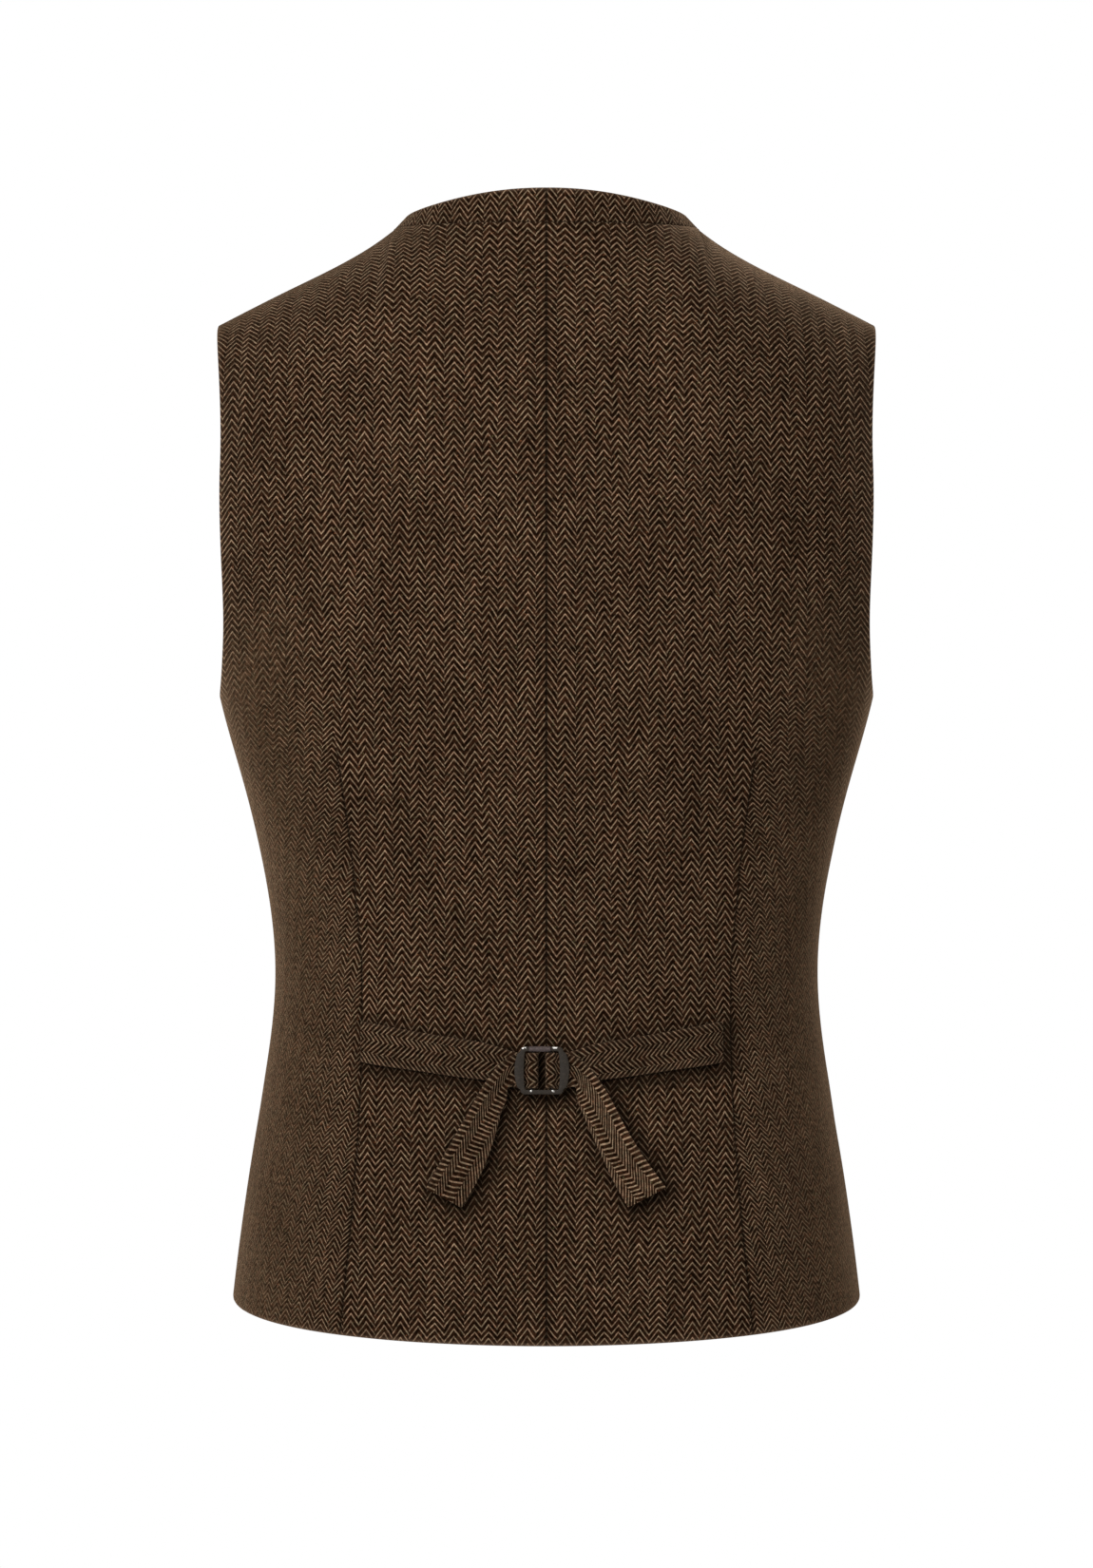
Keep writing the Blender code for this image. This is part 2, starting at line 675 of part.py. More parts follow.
def inner_bar(across):
    """One of the two upright rods that the straps turn round."""
    bm = bmesh.new()
    place = Matrix.Translation((across, 0, INNER_BAR_STAND - BUCKLE_STAND))
    bmesh.ops.create_cone(
        bm,
        cap_ends=True,
        segments=BAR_SIDES,
        radius1=INNER_BAR_RADIUS,
        radius2=INNER_BAR_RADIUS,
        depth=2 * (WINDOW_HALF_HEIGHT + INNER_BAR_SINK),
        matrix=place @ Matrix.Rotation(math.radians(90), 4, "X"),
    )
    return bm


def make_buckle():
    """The cinch buckle: a frame with swollen side bars, joined to its two inner bars."""
    frame = new_object("buckle_frame", frame_plate(), "gunmetal")
    for side, way in (("left", 1), ("right", -1)):
        guide = new_object(f"inner_bar_{side}", inner_bar(way * INNER_BAR_AT), "gunmetal")
        guide.hide_render = True
        guide.display_type = "WIRE"
        guide.parent = frame
        join = frame.modifiers.new(f"join_{side}", "BOOLEAN")
        join.operation = "UNION"
        join.solver = "EXACT"
        join.object = guide
    point, out = back_surface(BUCKLE_ACROSS, BUCKLE_HEIGHT)
    frame.location = point + out * BUCKLE_STAND
    frame.rotation_euler = (math.atan2(-out.y, out.z), 0, 0)


clear_scene()
make_panels()
make_straps()
make_buttons()
make_buckle()
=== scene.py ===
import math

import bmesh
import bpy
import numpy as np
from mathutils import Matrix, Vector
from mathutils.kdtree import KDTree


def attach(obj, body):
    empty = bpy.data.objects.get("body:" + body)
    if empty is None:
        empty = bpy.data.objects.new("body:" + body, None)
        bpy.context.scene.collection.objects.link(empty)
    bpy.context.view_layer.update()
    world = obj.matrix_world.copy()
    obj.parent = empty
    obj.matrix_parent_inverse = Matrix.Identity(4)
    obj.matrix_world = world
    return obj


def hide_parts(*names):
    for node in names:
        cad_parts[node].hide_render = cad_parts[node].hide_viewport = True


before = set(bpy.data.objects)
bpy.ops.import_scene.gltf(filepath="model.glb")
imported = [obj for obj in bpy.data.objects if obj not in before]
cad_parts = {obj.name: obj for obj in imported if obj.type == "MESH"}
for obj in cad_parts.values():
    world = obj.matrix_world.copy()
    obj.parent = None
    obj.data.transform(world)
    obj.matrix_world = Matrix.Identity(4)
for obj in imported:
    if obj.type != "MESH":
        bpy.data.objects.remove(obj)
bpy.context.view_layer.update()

# %% [markdown]
# # A tweed suit waistcoat, sewn in Blender
#
# The garment is hollow and stands in its worn form, as if a body filled it. The back faces +Y, the
# front faces -Y and the wearer's left is +X. Its CAD solids are already loaded: two back pieces,
# two fronts, a neck band in two halves, two cinch straps, a buckle and five buttons. The solids
# have the true sizes but few faces and no cloth in them. This lesson drafts each cut piece again
# with many more lines, sews the details and makes the materials.

# %% [markdown]
# ## The body form
#
# A tailor fits a waistcoat on a form, and here the form is a stack of rounded sections. Each has a
# half width and a depth at the centre back and centre front. A section is a superellipse, which
# is flatter across the back than an ellipse. Smooth splines through a short table join the
# sections. Sculpting a torso would work too, but a table keeps every size exact.

# %% The form's sizes, in metres
FORM = (
    # height, half_width, back_depth, front_depth
    (-0.700, 0.1895, 0.1185, 0.1200),
    (-0.647, 0.1848, 0.1180, 0.1205),
    (-0.590, 0.1780, 0.1140, 0.1190),
    (-0.520, 0.1673, 0.1040, 0.1160),
    (-0.445, 0.1588, 0.0945, 0.1140),
    (-0.380, 0.1662, 0.0985, 0.1170),
    (-0.334, 0.1772, 0.1050, 0.1210),
    (-0.286, 0.1905, 0.1110, 0.1245),
    (-0.240, 0.1985, 0.1155, 0.1255),
    (-0.200, 0.2025, 0.1180, 0.1230),
    (-0.150, 0.2015, 0.1165, 0.1120),
    (-0.110, 0.1975, 0.1110, 0.0990),
)
SQUARENESS = {"back": 2.5, "front": 2.2}  # power of the section's rounded outline
LEVEL_BOW = {"back": 1.4, "front": 1.0}  # how late a level leaves its centre height
CURVE_SAMPLES = 241
print("form of", len(FORM), "sections, the narrowest", 2 * min(row[1] for row in FORM), "across")


# %% Splines and points on the form
def spline(table, at):
    """The table's other columns at the given values of its first column, on a natural cubic spline."""
    rows = np.array(sorted(table), float)
    knots, values = rows[:, 0], rows[:, 1:]
    step = np.diff(knots)
    slope = np.diff(values, axis=0) / step[:, None]
    system = np.eye(len(knots))
    pull = np.zeros_like(values)
    for i in range(1, len(knots) - 1):
        system[i, i - 1 : i + 2] = step[i - 1], 2 * (step[i - 1] + step[i]), step[i]
        pull[i] = 6 * (slope[i] - slope[i - 1])
    bend = np.linalg.solve(system, pull)
    at = np.atleast_1d(np.asarray(at, float))
    i = np.clip(np.searchsorted(knots, at) - 1, 0, len(step) - 1)
    before = ((knots[i + 1] - at) / step[i])[:, None]
    after = 1 - before
    sag = (before**3 - before) * bend[i] + (after**3 - after) * bend[i + 1]
    return before * values[i] + after * values[i + 1] + sag * (step[i] ** 2)[:, None] / 6


def smoothstep(low, high, at):
    share = np.clip((at - low) / (high - low), 0, 1)
    return share * share * (3 - 2 * share)


def form_points(angle, height, face):
    """Points on the body form; angle 0 is the centre line and a right angle is the side."""
    power = 2 / SQUARENESS[face]
    half_width, back_depth, front_depth = spline(FORM, height).T
    depth = back_depth if face == "back" else -front_depth
    across = half_width * np.sign(np.sin(angle)) * np.abs(np.sin(angle)) ** power
    return np.stack([across, depth * np.abs(np.cos(angle)) ** power, height], axis=-1)


print("half width and depths at the waist", spline(FORM, FORM[4][0])[0])


# %% Levels across a piece
UNDERARM = -0.286  # height of the armhole's lowest point


def angle_at_width(across, height, face):
    share = abs(across) / spline(FORM, height)[0, 0]
    return math.copysign(math.asin(share ** (SQUARENESS[face] / 2)), across)


def angle_at_depth(depth, height, face):
    column = 1 if face == "back" else 2
    share = abs(depth) / spline(FORM, height)[0, column]
    return math.acos(share ** (SQUARENESS[face] / 2))


def level(face, inner, outer):
    """One level across a piece, from the inner edge (across, height) to the outer (depth, height)."""
    share = np.linspace(0, 1, CURVE_SAMPLES)
    start = angle_at_width(*inner, face)
    end = angle_at_depth(*outer, face)
    height = inner[1] + (outer[1] - inner[1]) * share ** LEVEL_BOW[face]
    return form_points(start + (end - start) * share, height, face)


def lengths(curve):
    return np.concatenate([[0], np.cumsum(np.linalg.norm(np.diff(curve, axis=0), axis=1))])


def at_shares(curve, shares):
    """Points of the curve at shares of its length."""
    run = lengths(curve)
    return np.stack([np.interp(shares * run[-1], run, axis) for axis in curve.T], axis=-1)


UNDERARM_LEVEL = level("back", (0.0, UNDERARM), (0.0, UNDERARM))
print("quarter girth under the arm", round(float(lengths(UNDERARM_LEVEL)[-1]), 4))

# %% [markdown]
# ## Seams and edges
#
# Two pieces that are sewn together must share their seam line, so each line has one formula. The
# shoulder seam is a spline from the neck to the tip. The neck edge and the foot of the neck band
# are rounded curves from the centre back to that seam. Each piece stops a hair short of the
# line, so the two folds face each other as in a pressed seam.

# %% Sizes of the neck and the shoulder
HALF_SEAM = 0.00002  # each piece stops this far short of a seam line
NECK_HALF = 0.082  # neck edge to centre, at the shoulder seam
BAND_FOOT_HALF = 0.089  # the same, at the foot of the back neck band
TIP_HALF = 0.193  # shoulder tip to centre
NECK_RISE = 0.0046  # centre back neck above the origin
NECK_DEPTH = 0.0735  # centre back neck behind the origin
BAND_FOOT_DROP = 0.0158  # foot of the band below the origin, at the centre back
BAND_FOOT_DEPTH = 0.0785  # and behind it
NECK_SQUARENESS = 2.15  # power of the neck's rounded outline seen from above
NECK_FALL = 3.4  # how soon the neck edge falls from the centre back
BAND_FOOT_RISE = 1.8  # how late the foot of the band rises to the shoulder
SHOULDER_FORWARD = 0.003  # the seam's tip lies this far in front of its neck end

SHOULDER = (
    # across, height
    (0.082, -0.0025),
    (0.089, -0.0085),
    (0.109, -0.0225),
    (0.150, -0.0435),
    (0.193, -0.0650),
)
print("the shoulder falls", round(SHOULDER[0][1] - SHOULDER[-1][1], 4), "from the neck to the tip")


# %% Seam lines
def shoulder_seam(shares, inner_half):
    across = inner_half + (TIP_HALF - inner_half) * shares
    height = spline(SHOULDER, across)[:, 0]
    depth = -SHOULDER_FORWARD * (across - NECK_HALF) / (TIP_HALF - NECK_HALF)
    return np.stack([across, depth, height], axis=-1)


def neck_plan(shares, side, depth):
    """Across and depth of a quarter neck curve, from the centre back to the shoulder seam."""
    power = 2 / NECK_SQUARENESS
    angle = shares * math.pi / 2
    across = side[0] * np.sin(angle) ** power
    return across, side[1] + (depth - side[1]) * np.abs(np.cos(angle)) ** power


def neck_edge(shares):
    side = shoulder_seam(np.array([0.0]), NECK_HALF)[0]
    across, depth = neck_plan(shares, side, NECK_DEPTH)
    fall = np.abs(np.cos(shares * math.pi / 2)) ** NECK_FALL
    return np.stack([across, depth, side[2] + (NECK_RISE - side[2]) * fall], axis=-1)


def band_foot(shares):
    side = shoulder_seam(np.array([0.0]), BAND_FOOT_HALF)[0]
    across, depth = neck_plan(shares, side, BAND_FOOT_DEPTH)
    height = -BAND_FOOT_DROP + (side[2] + BAND_FOOT_DROP) * shares**BAND_FOOT_RISE
    return np.stack([across, depth, height], axis=-1)


EVEN_SHARES = np.linspace(0, 1, CURVE_SAMPLES)
SEAM_LINES = {"shoulder": shoulder_seam(EVEN_SHARES, NECK_HALF), "half neck": neck_edge(EVEN_SHARES)}
for line, points in SEAM_LINES.items():
    print(line, "line", round(float(lengths(points)[-1]), 4))

# %% [markdown]
# ## Points over a cut piece
#
# A cut piece is a sheet, so its points lie in rows and columns. A plain grid bent to shape is
# simpler than a mesh built by hand, and its rows and columns later say how the weave runs. The
# lines are about 2.6 mm apart and crowd beside a seam or an edge, because the cloth turns in
# there within a millimetre or two.

# %% Spacing of the lines
SPACING = 0.0026
EDGE_LINES = (0.0003, 0.0007, 0.0013, 0.0022)  # extra lines at these distances from an edge
EDGE_CLEAR = 1.3  # even lines start this many times as far in as the last extra line


def crowded(length, ends, spacing=SPACING):
    """Even shares of a length, with the extra lines beside each end named in ends."""
    near = np.array(EDGE_LINES) / length
    even = np.linspace(0, 1, round(length / spacing) + 1)[1:-1]
    keep = np.ones(len(even), bool)
    parts = [np.array([0.0, 1.0])]
    if "start" in ends:
        keep &= even > near[-1] * EDGE_CLEAR
        parts.append(near)
    if "end" in ends:
        keep &= even < 1 - near[-1] * EDGE_CLEAR
        parts.append(1 - near)
    return np.sort(np.concatenate([*parts, even[keep]]))


def normals(grid, face):
    """Outward directions on a grid whose rows go up and whose columns go outwards."""
    up = np.gradient(grid, axis=0)
    out = np.gradient(grid, axis=1)
    way = np.cross(up, out) if face == "back" else np.cross(out, up)
    return way / np.linalg.norm(way, axis=-1, keepdims=True)


print("lines over 0.1 m between two edges", len(crowded(0.1, ("start", "end"))))

# %% The roll over the shoulder
LEAN_CENTRE = 13  # lean of the cloth from upright at the centre of the band's foot, in degrees
LEAN_NECK = 82  # the same where the shoulder seam meets the neck
LEAN_SHOULDER = 84  # and out along the shoulder seam
LEAN_EASE = 0.4  # share of the shoulder seam along which the lean changes
ROLL_PULL = 1.15  # length of the roll's end tangents over its chord
ROLL_LENGTH = 0.105  # length of the roll for which its rows are spaced
ROLL_SHARES = crowded(ROLL_LENGTH, ("end",))[1:]


def roll_over(grid, top, lean, way):
    """Rows from the last level to the seam on the shoulder or neck; way is 1 towards the back."""
    last = grid[-1]
    climb = last - grid[-2]
    climb /= np.linalg.norm(climb, axis=1, keepdims=True)
    finish = np.stack([np.zeros_like(lean), way * np.sin(lean), np.cos(lean)], axis=-1)
    chord = np.linalg.norm(top - last, axis=1, keepdims=True) * ROLL_PULL
    rows = []
    for t in ROLL_SHARES:
        rows.append(
            (2 * t**3 - 3 * t**2 + 1) * last
            + (t**3 - 2 * t**2 + t) * chord * climb
            + (3 * t**2 - 2 * t**3) * top
            + (t**3 - t**2) * chord * finish
        )
    return np.concatenate([grid, rows])


print("rows in the roll", len(ROLL_SHARES))

# %% [markdown]
# ## Drafting the back
#
# The back half is one cut from the centre seam to the side. A dart takes in the waist and is open
# down to the hem. The levels run from the hem to the underarm, then up along the armhole, and the
# last rows roll over the shoulder. The dart's own column of points is found on every level, so
# its seam is a clean line of the grid.

# %% The back's sizes
HEM_CENTRE = -0.647
HEM_SIDE = -0.632
YOKE_CENTRE = -0.120  # level where the back starts to roll over the shoulder
UNDERARM_CROWD = 1.3  # crowds the levels towards the underarm, where the armhole turns
UPPER_LEVELS = 58
WIDTH_TO_DART = 0.112  # widths for which the columns are spaced
WIDTH_PAST_DART = 0.140

ARMHOLE = {
    # share of the way from the underarm to the yoke, depth, height
    "back": (
        (0.00, 0.000, -0.286),
        (0.15, 0.028, -0.280),
        (0.32, 0.046, -0.262),
        (0.55, 0.057, -0.230),
        (0.78, 0.060, -0.190),
        (1.00, 0.057, -0.150),
    ),
    "front": (
        (0.00, 0.000, -0.286),
        (0.15, -0.033, -0.280),
        (0.32, -0.055, -0.260),
        (0.55, -0.068, -0.226),
        (0.78, -0.072, -0.188),
        (1.00, -0.069, -0.150),
    ),
}
DART = (
    # height, across
    (-0.647, 0.1165),
    (-0.592, 0.1110),
    (-0.526, 0.1060),
    (-0.463, 0.1045),
    (-0.365, 0.1115),
    (-0.290, 0.1205),
    (-0.200, 0.1170),
    (-0.110, 0.1060),
)
DART_TIP = (-0.285, -0.325)  # heights between which the dart deepens
LOWER_SHARES = crowded(UNDERARM - HEM_CENTRE, ("start",))
UPPER_SHARES = np.linspace(0, 1, UPPER_LEVELS)[1:] ** UNDERARM_CROWD
TO_DART = crowded(WIDTH_TO_DART, ("start", "end"))
PAST_DART = crowded(WIDTH_PAST_DART, ("start", "end"))[1:]
DART_COLUMN = len(TO_DART) - 1
UNDERARM_ROW = len(LOWER_SHARES) - 1
print("the dart is column", DART_COLUMN, "and the underarm is row", UNDERARM_ROW)


# %% The back's points
def back_levels():
    """Inner and outer ends of the back's levels, from the hem up to the yoke."""
    for share in LOWER_SHARES:
        inner = HEM_CENTRE + (UNDERARM - HEM_CENTRE) * share
        yield (0.0, inner), (HALF_SEAM, HEM_SIDE + (UNDERARM - HEM_SIDE) * share)
    for share in UPPER_SHARES:
        inner = UNDERARM + (YOKE_CENTRE - UNDERARM) * share
        yield (0.0, inner), tuple(spline(ARMHOLE["back"], share)[0])


def dart_share(curve):
    """Share of a level's length at which the dart's column crosses it."""
    across = spline(DART, np.clip(curve[:, 2], DART[0][0], DART[-1][0]))[:, 0]
    run = lengths(curve)
    return np.interp(0, curve[:, 0] - across, run / run[-1])


def back_grid():
    rows = []
    for inner, outer in back_levels():
        curve = level("back", inner, outer)
        dart = dart_share(curve)
        rows.append(at_shares(curve, np.concatenate([dart * TO_DART, dart + (1 - dart) * PAST_DART])))
    top = np.concatenate([band_foot(TO_DART), shoulder_seam(PAST_DART, BAND_FOOT_HALF)])
    top[: DART_COLUMN + 1, 2] -= HALF_SEAM
    top[:, 1] += HALF_SEAM
    lean_in = LEAN_CENTRE + (LEAN_NECK - LEAN_CENTRE) * smoothstep(0, 1, TO_DART)
    lean_out = LEAN_NECK + (LEAN_SHOULDER - LEAN_NECK) * smoothstep(0, LEAN_EASE, PAST_DART)
    lean = np.radians(np.concatenate([lean_in, lean_out]))
    grid = roll_over(np.array(rows), top, lean, -1)
    grid[:, 0, 0] = HALF_SEAM
    return grid


BACK = back_grid()
print("back grid", BACK.shape)

# %% [markdown]
# ## Drafting the front and the neck band
#
# Each front runs from its free edge, past the buttons and up the V of the neck, to the side seam
# and the armhole. The right front is the same cut, but it eases inwards near the centre, where
# it lies under the left one. The neck band is a strip between the neck edge and the seam across
# the back of the neck.

# %% Sizes of the front and the band
FRONT_EDGE = (
    # step, across, height
    (0.00, 0.0460, -0.674),
    (0.10, 0.0200, -0.639),
    (0.20, -0.0020, -0.602),
    (0.28, -0.0095, -0.570),
    (0.45, -0.0100, -0.505),
    (0.70, -0.0100, -0.408),
    (0.88, -0.0100, -0.338),
    (1.00, -0.0065, -0.300),
    (1.35, 0.0180, -0.240),
    (1.70, 0.0400, -0.180),
    (2.00, 0.0570, -0.130),
)
LAP = 0.0037  # how far the right front lies under the left one
LAP_ENDS = (0.012, 0.045)  # distances from the centre between which the lap eases out
FRONT_WIDTH = 0.20
FRONT_SHARES = crowded(FRONT_WIDTH, ("start", "end"))
BAND_WIDTH = 0.12
BAND_HEIGHT = 0.021
BAND_STAND = 0.0004  # the band stands this far out from the back at their seam
BAND_SHARES = crowded(BAND_WIDTH, ("start", "end"), spacing=0.0016)
BAND_ROWS = crowded(BAND_HEIGHT, ("start", "end"), spacing=0.0012)
print("columns in a front", len(FRONT_SHARES), "and in half the band", len(BAND_SHARES))


# %% The front's and the band's points
def front_levels():
    for share in LOWER_SHARES:
        outer = HEM_SIDE + (UNDERARM - HEM_SIDE) * share
        yield tuple(spline(FRONT_EDGE, share)[0]), (-HALF_SEAM, outer)
    for share in UPPER_SHARES:
        yield tuple(spline(FRONT_EDGE, 1 + share)[0]), tuple(spline(ARMHOLE["front"], share)[0])


def front_grid(laps_under):
    rows = [at_shares(level("front", *ends), FRONT_SHARES) for ends in front_levels()]
    top = shoulder_seam(FRONT_SHARES, NECK_HALF)
    top[:, 1] -= HALF_SEAM
    lean = LEAN_NECK + (LEAN_SHOULDER - LEAN_NECK) * smoothstep(0, LEAN_EASE, FRONT_SHARES)
    grid = roll_over(np.array(rows), top, np.radians(lean), 1)
    if laps_under:
        grid[..., 1] += LAP * (1 - smoothstep(*LAP_ENDS, grid[..., 0]))
    return grid


def band_grid():
    foot = band_foot(BAND_SHARES)
    foot[:, 2] += HALF_SEAM
    top = neck_edge(BAND_SHARES)
    grid = np.array([foot + (top - foot) * t for t in BAND_ROWS])
    grid[..., 1] += BAND_STAND
    grid[:, 0, 0] = HALF_SEAM
    return grid


FRONTS = {"left": front_grid(False), "right": front_grid(True)}
BAND = band_grid()
print("front grid", FRONTS["left"].shape, "band grid", BAND.shape)

# %% [markdown]
# ## How each piece was cut from the cloth
#
# The weave has to run as it does on real cut pieces, so each point also gets its place on the
# flat cloth: how far it is across and along the fabric. Distances along the grid's lines give
# that. On the back the stripes stay parallel to the centre seam inside the dart and to the side
# seam outside it, so the pattern breaks at the dart. Beside the armhole the grid's columns bend
# round with the edge, which the weave does not do, so there it is laid level and upright again.
# These places become the UV map "cut", which is in metres.

# %% Places on the flat cloth
def run_along(grid, axis):
    """Distance from the first line of the grid along its rows (axis 1) or columns (axis 0)."""
    step = np.linalg.norm(np.diff(grid, axis=axis), axis=-1)
    start = np.zeros_like(np.take(step, [0], axis=axis))
    return np.concatenate([start, np.cumsum(step, axis=axis)], axis=axis)


def front_cut(grid):
    across = grid[:, :1, 0] + run_along(grid, 1)
    along = run_along(grid, 0)
    along -= along[UNDERARM_ROW]
    return np.stack([across, along], -1)


def band_cut(grid):
    return np.stack([run_along(grid, 1), run_along(grid, 0)], -1)


print("half the band on the cloth", np.round(band_cut(BAND).max(axis=(0, 1)), 4))

# %% Places on the cloth of the back
EASED_IN = 0.22  # how much more cloth is eased in beyond the dart, which narrows the stripes
EASE_ENDS = (UNDERARM, -0.460)
FINER = 1.25  # and how much closer its lines lie there
STRETCHED = 0.95  # the cloth is steamed flat beside the armhole, which keeps its columns wide
STRETCH_ENDS = (-0.460, -0.255)
ROLL_BEGINS = -0.135  # height on the centre seam from which the back turns over the shoulder


def levelled(along, grid):
    """The same distances with the slant taken out that the armhole's curved edge gives them."""
    slant = along - np.interp(grid[..., 2], grid[:, 0, 2], along[:, 0])
    slant[:UNDERARM_ROW] = 0
    roll_row = np.searchsorted(grid[:, 0, 2], ROLL_BEGINS)
    slant[roll_row:] = slant[roll_row]
    return along - slant


def back_cut(grid):
    """Places on the cloth as seen from inside the dart and from outside it."""
    across = run_along(grid, 1)
    stretch = STRETCHED * smoothstep(*STRETCH_ENDS, grid[..., 2])
    across += (grid[..., 0] - across) * stretch
    along = run_along(grid, 0)
    along = levelled(along - along[UNDERARM_ROW], grid)
    widest = across[UNDERARM_ROW, -1]
    ease = 1 + EASED_IN * smoothstep(*EASE_ENDS, grid[:, :1, 2])
    outside = across.copy()
    lower = slice(0, UNDERARM_ROW)
    outside[lower] = widest - (across[lower, -1:] - across[lower]) * ease[lower]
    closer = along.copy()
    closer[lower] *= FINER
    return np.stack([across, along], -1), np.stack([outside, closer], -1)


BACK_CUTS = back_cut(BACK)
print("the back reaches", np.round(BACK_CUTS[0].max(axis=(0, 1)), 3), "across and along the cloth")

# %% [markdown]
# ## Turned edges, seam ditches and the dart
#
# Cloth never ends in a sharp corner. At a free edge it folds back on itself, and at a pressed
# seam both sides roll into a narrow ditch. A bevel would give every edge the same corner, so the
# face is lowered instead by a rounded profile that depends on the distance from the edge. The
# dart gets the same ditch, which fades out towards its tip.

# %% Distances and rounded profiles
EDGE_ROUND = 0.0012  # radius of a folded edge
SEAM_ROUND = 0.0009
DITCH_WIDTH = 0.0045  # the cloth also sinks softly beside a seam
DITCH_DEPTH = 0.00035
TIP_FADE = 4 * SEAM_ROUND  # how far off the dart's ditch seems once it has faded out
FAR = 1.0


def distances(grid):
    """Distance of every point from each edge of its piece, with the outer edge also in two parts."""
    up = run_along(grid, 0)
    out = run_along(grid, 1)
    outer = out[:, -1:] - out
    below = np.arange(len(grid))[:, None] <= UNDERARM_ROW
    return {
        "bottom": up, "top": up[-1:] - up, "inner": out, "outer": outer,
        "side": np.where(below, outer, FAR), "armhole": np.where(below, FAR, outer),
    }


def rounded(distance, radius):
    inside = np.clip(radius - distance, 0, radius)
    return radius - np.sqrt(radius**2 - inside**2)


def sunk(folds, seams):
    """Depth of the face below the plain surface; a seam is a distance and how deep it was pressed."""
    depths = [rounded(fold, EDGE_ROUND) for fold in folds]
    for seam, press in seams:
        ditch = DITCH_DEPTH * np.exp(-((seam / DITCH_WIDTH) ** 2))
        depths.append(press * (rounded(seam, SEAM_ROUND) + ditch))
    return np.max(depths, axis=0)


def dart_distance(grid):
    """Distance from the dart's column, which counts for less and less above its tip."""
    across = run_along(grid, 1)
    away = np.abs(across - across[:, DART_COLUMN : DART_COLUMN + 1])
    open_share = smoothstep(*DART_TIP, grid[:, DART_COLUMN, 2])[:, None]
    return away + (1 - open_share) * TIP_FADE


print("a pressed seam sinks", round(float(sunk([], [(np.zeros(1), 1.0)])[0]), 5))

# %% [markdown]
# ## Soft creases
#
# Worn wool is never flat. Shallow pulls run out from the cinch strap, the cloth swells above and
# below it, and long soft waves hang below the shoulders. Each crease here is one soft trough or
# ridge with its own place, direction, length and width, because a noise texture would spread
# the same waves everywhere. Both halves of the back read one list by their place in space, so a
# crease runs on across a seam.

# %% The creases, in metres as seen on each face of the garment
CREASES = {
    "back": (
        # across, height, half run across, half run up, half width, depth (a ridge is below zero)
        (0.000, -0.4930, 0.150, -0.006, 0.0110, 0.0006),
        (0.060, -0.4560, 0.060, 0.012, 0.0100, -0.0010),
        (-0.060, -0.4600, 0.060, -0.010, 0.0100, -0.0009),
        (0.070, -0.5300, 0.050, 0.010, 0.0110, -0.0009),
        (-0.075, -0.5350, 0.050, -0.014, 0.0110, -0.0009),
        (0.112, -0.4300, 0.040, 0.030, 0.0080, 0.0013),
        (-0.112, -0.4350, 0.040, -0.030, 0.0080, 0.0013),
        (0.120, -0.3900, 0.050, 0.040, 0.0110, -0.0011),
        (-0.122, -0.3960, 0.050, -0.036, 0.0110, -0.0011),
        (0.030, -0.3600, 0.018, 0.090, 0.0160, 0.0009),
        (-0.038, -0.3500, -0.016, 0.085, 0.0160, 0.0008),
        (0.040, -0.5450, 0.020, 0.036, 0.0075, 0.0016),
        (-0.026, -0.5200, -0.016, 0.030, 0.0065, 0.0013),
        (0.020, -0.5900, 0.010, 0.050, 0.0170, 0.0009),
        (-0.050, -0.5950, -0.014, 0.050, 0.0150, 0.0008),
        (0.080, -0.6000, 0.012, 0.045, 0.0130, 0.0008),
        (0.150, -0.5600, 0.016, 0.060, 0.0120, 0.0010),
        (-0.152, -0.5650, -0.016, 0.060, 0.0120, 0.0010),
        (0.120, -0.1500, 0.040, 0.040, 0.0150, 0.0010),
        (-0.120, -0.1550, -0.040, 0.040, 0.0150, 0.0010),
        (0.050, -0.0900, 0.040, -0.012, 0.0100, 0.0008),
        (-0.050, -0.0920, 0.040, 0.012, 0.0100, 0.0008),
    ),
    "front": (
        (0.060, -0.4500, 0.060, 0.008, 0.0120, 0.0011),
        (-0.060, -0.4550, 0.060, -0.008, 0.0120, 0.0011),
        (0.080, -0.5100, 0.050, -0.014, 0.0140, 0.0010),
        (-0.084, -0.5060, 0.050, 0.014, 0.0140, 0.0010),
        (0.110, -0.3300, 0.030, 0.050, 0.0140, 0.0012),
        (-0.112, -0.3340, -0.030, 0.050, 0.0140, 0.0012),
        (0.070, -0.2300, 0.030, -0.060, 0.0130, 0.0010),
        (-0.072, -0.2360, -0.030, -0.060, 0.0130, 0.0010),
        (0.130, -0.1300, 0.030, 0.040, 0.0130, 0.0010),
        (-0.130, -0.1340, -0.030, 0.040, 0.0130, 0.0010),
    ),
}
CREASE_MEANDER = 0.003  # how far a crease wanders from a straight line
MEANDER_TURNS = 3.1  # and how fast, along it
MEANDER_START = 90  # from one place across the garment to the next it starts elsewhere
print("creases", {face: len(rows) for face, rows in CREASES.items()})


# %% The depth of all creases together
def crease_depth(grid, face):
    depth = np.zeros(grid.shape[:2])
    for across, height, run_x, run_z, half_width, deep in CREASES[face]:
        half_run = math.hypot(run_x, run_z)
        way = np.array([run_x, run_z]) / half_run
        side = np.array([-way[1], way[0]])
        offset = grid[..., [0, 2]] - np.array([across, height])
        along = offset @ way / half_run
        wander = CREASE_MEANDER * np.sin(MEANDER_TURNS * along + MEANDER_START * across)
        beside = (offset @ side - wander) / half_width
        fade = np.clip(1 - along**2, 0, 1) ** 2
        depth += deep * fade * np.exp(-(beside**2))
    return depth


print("deepest crease", round(float(crease_depth(BACK, "back").max()), 5))

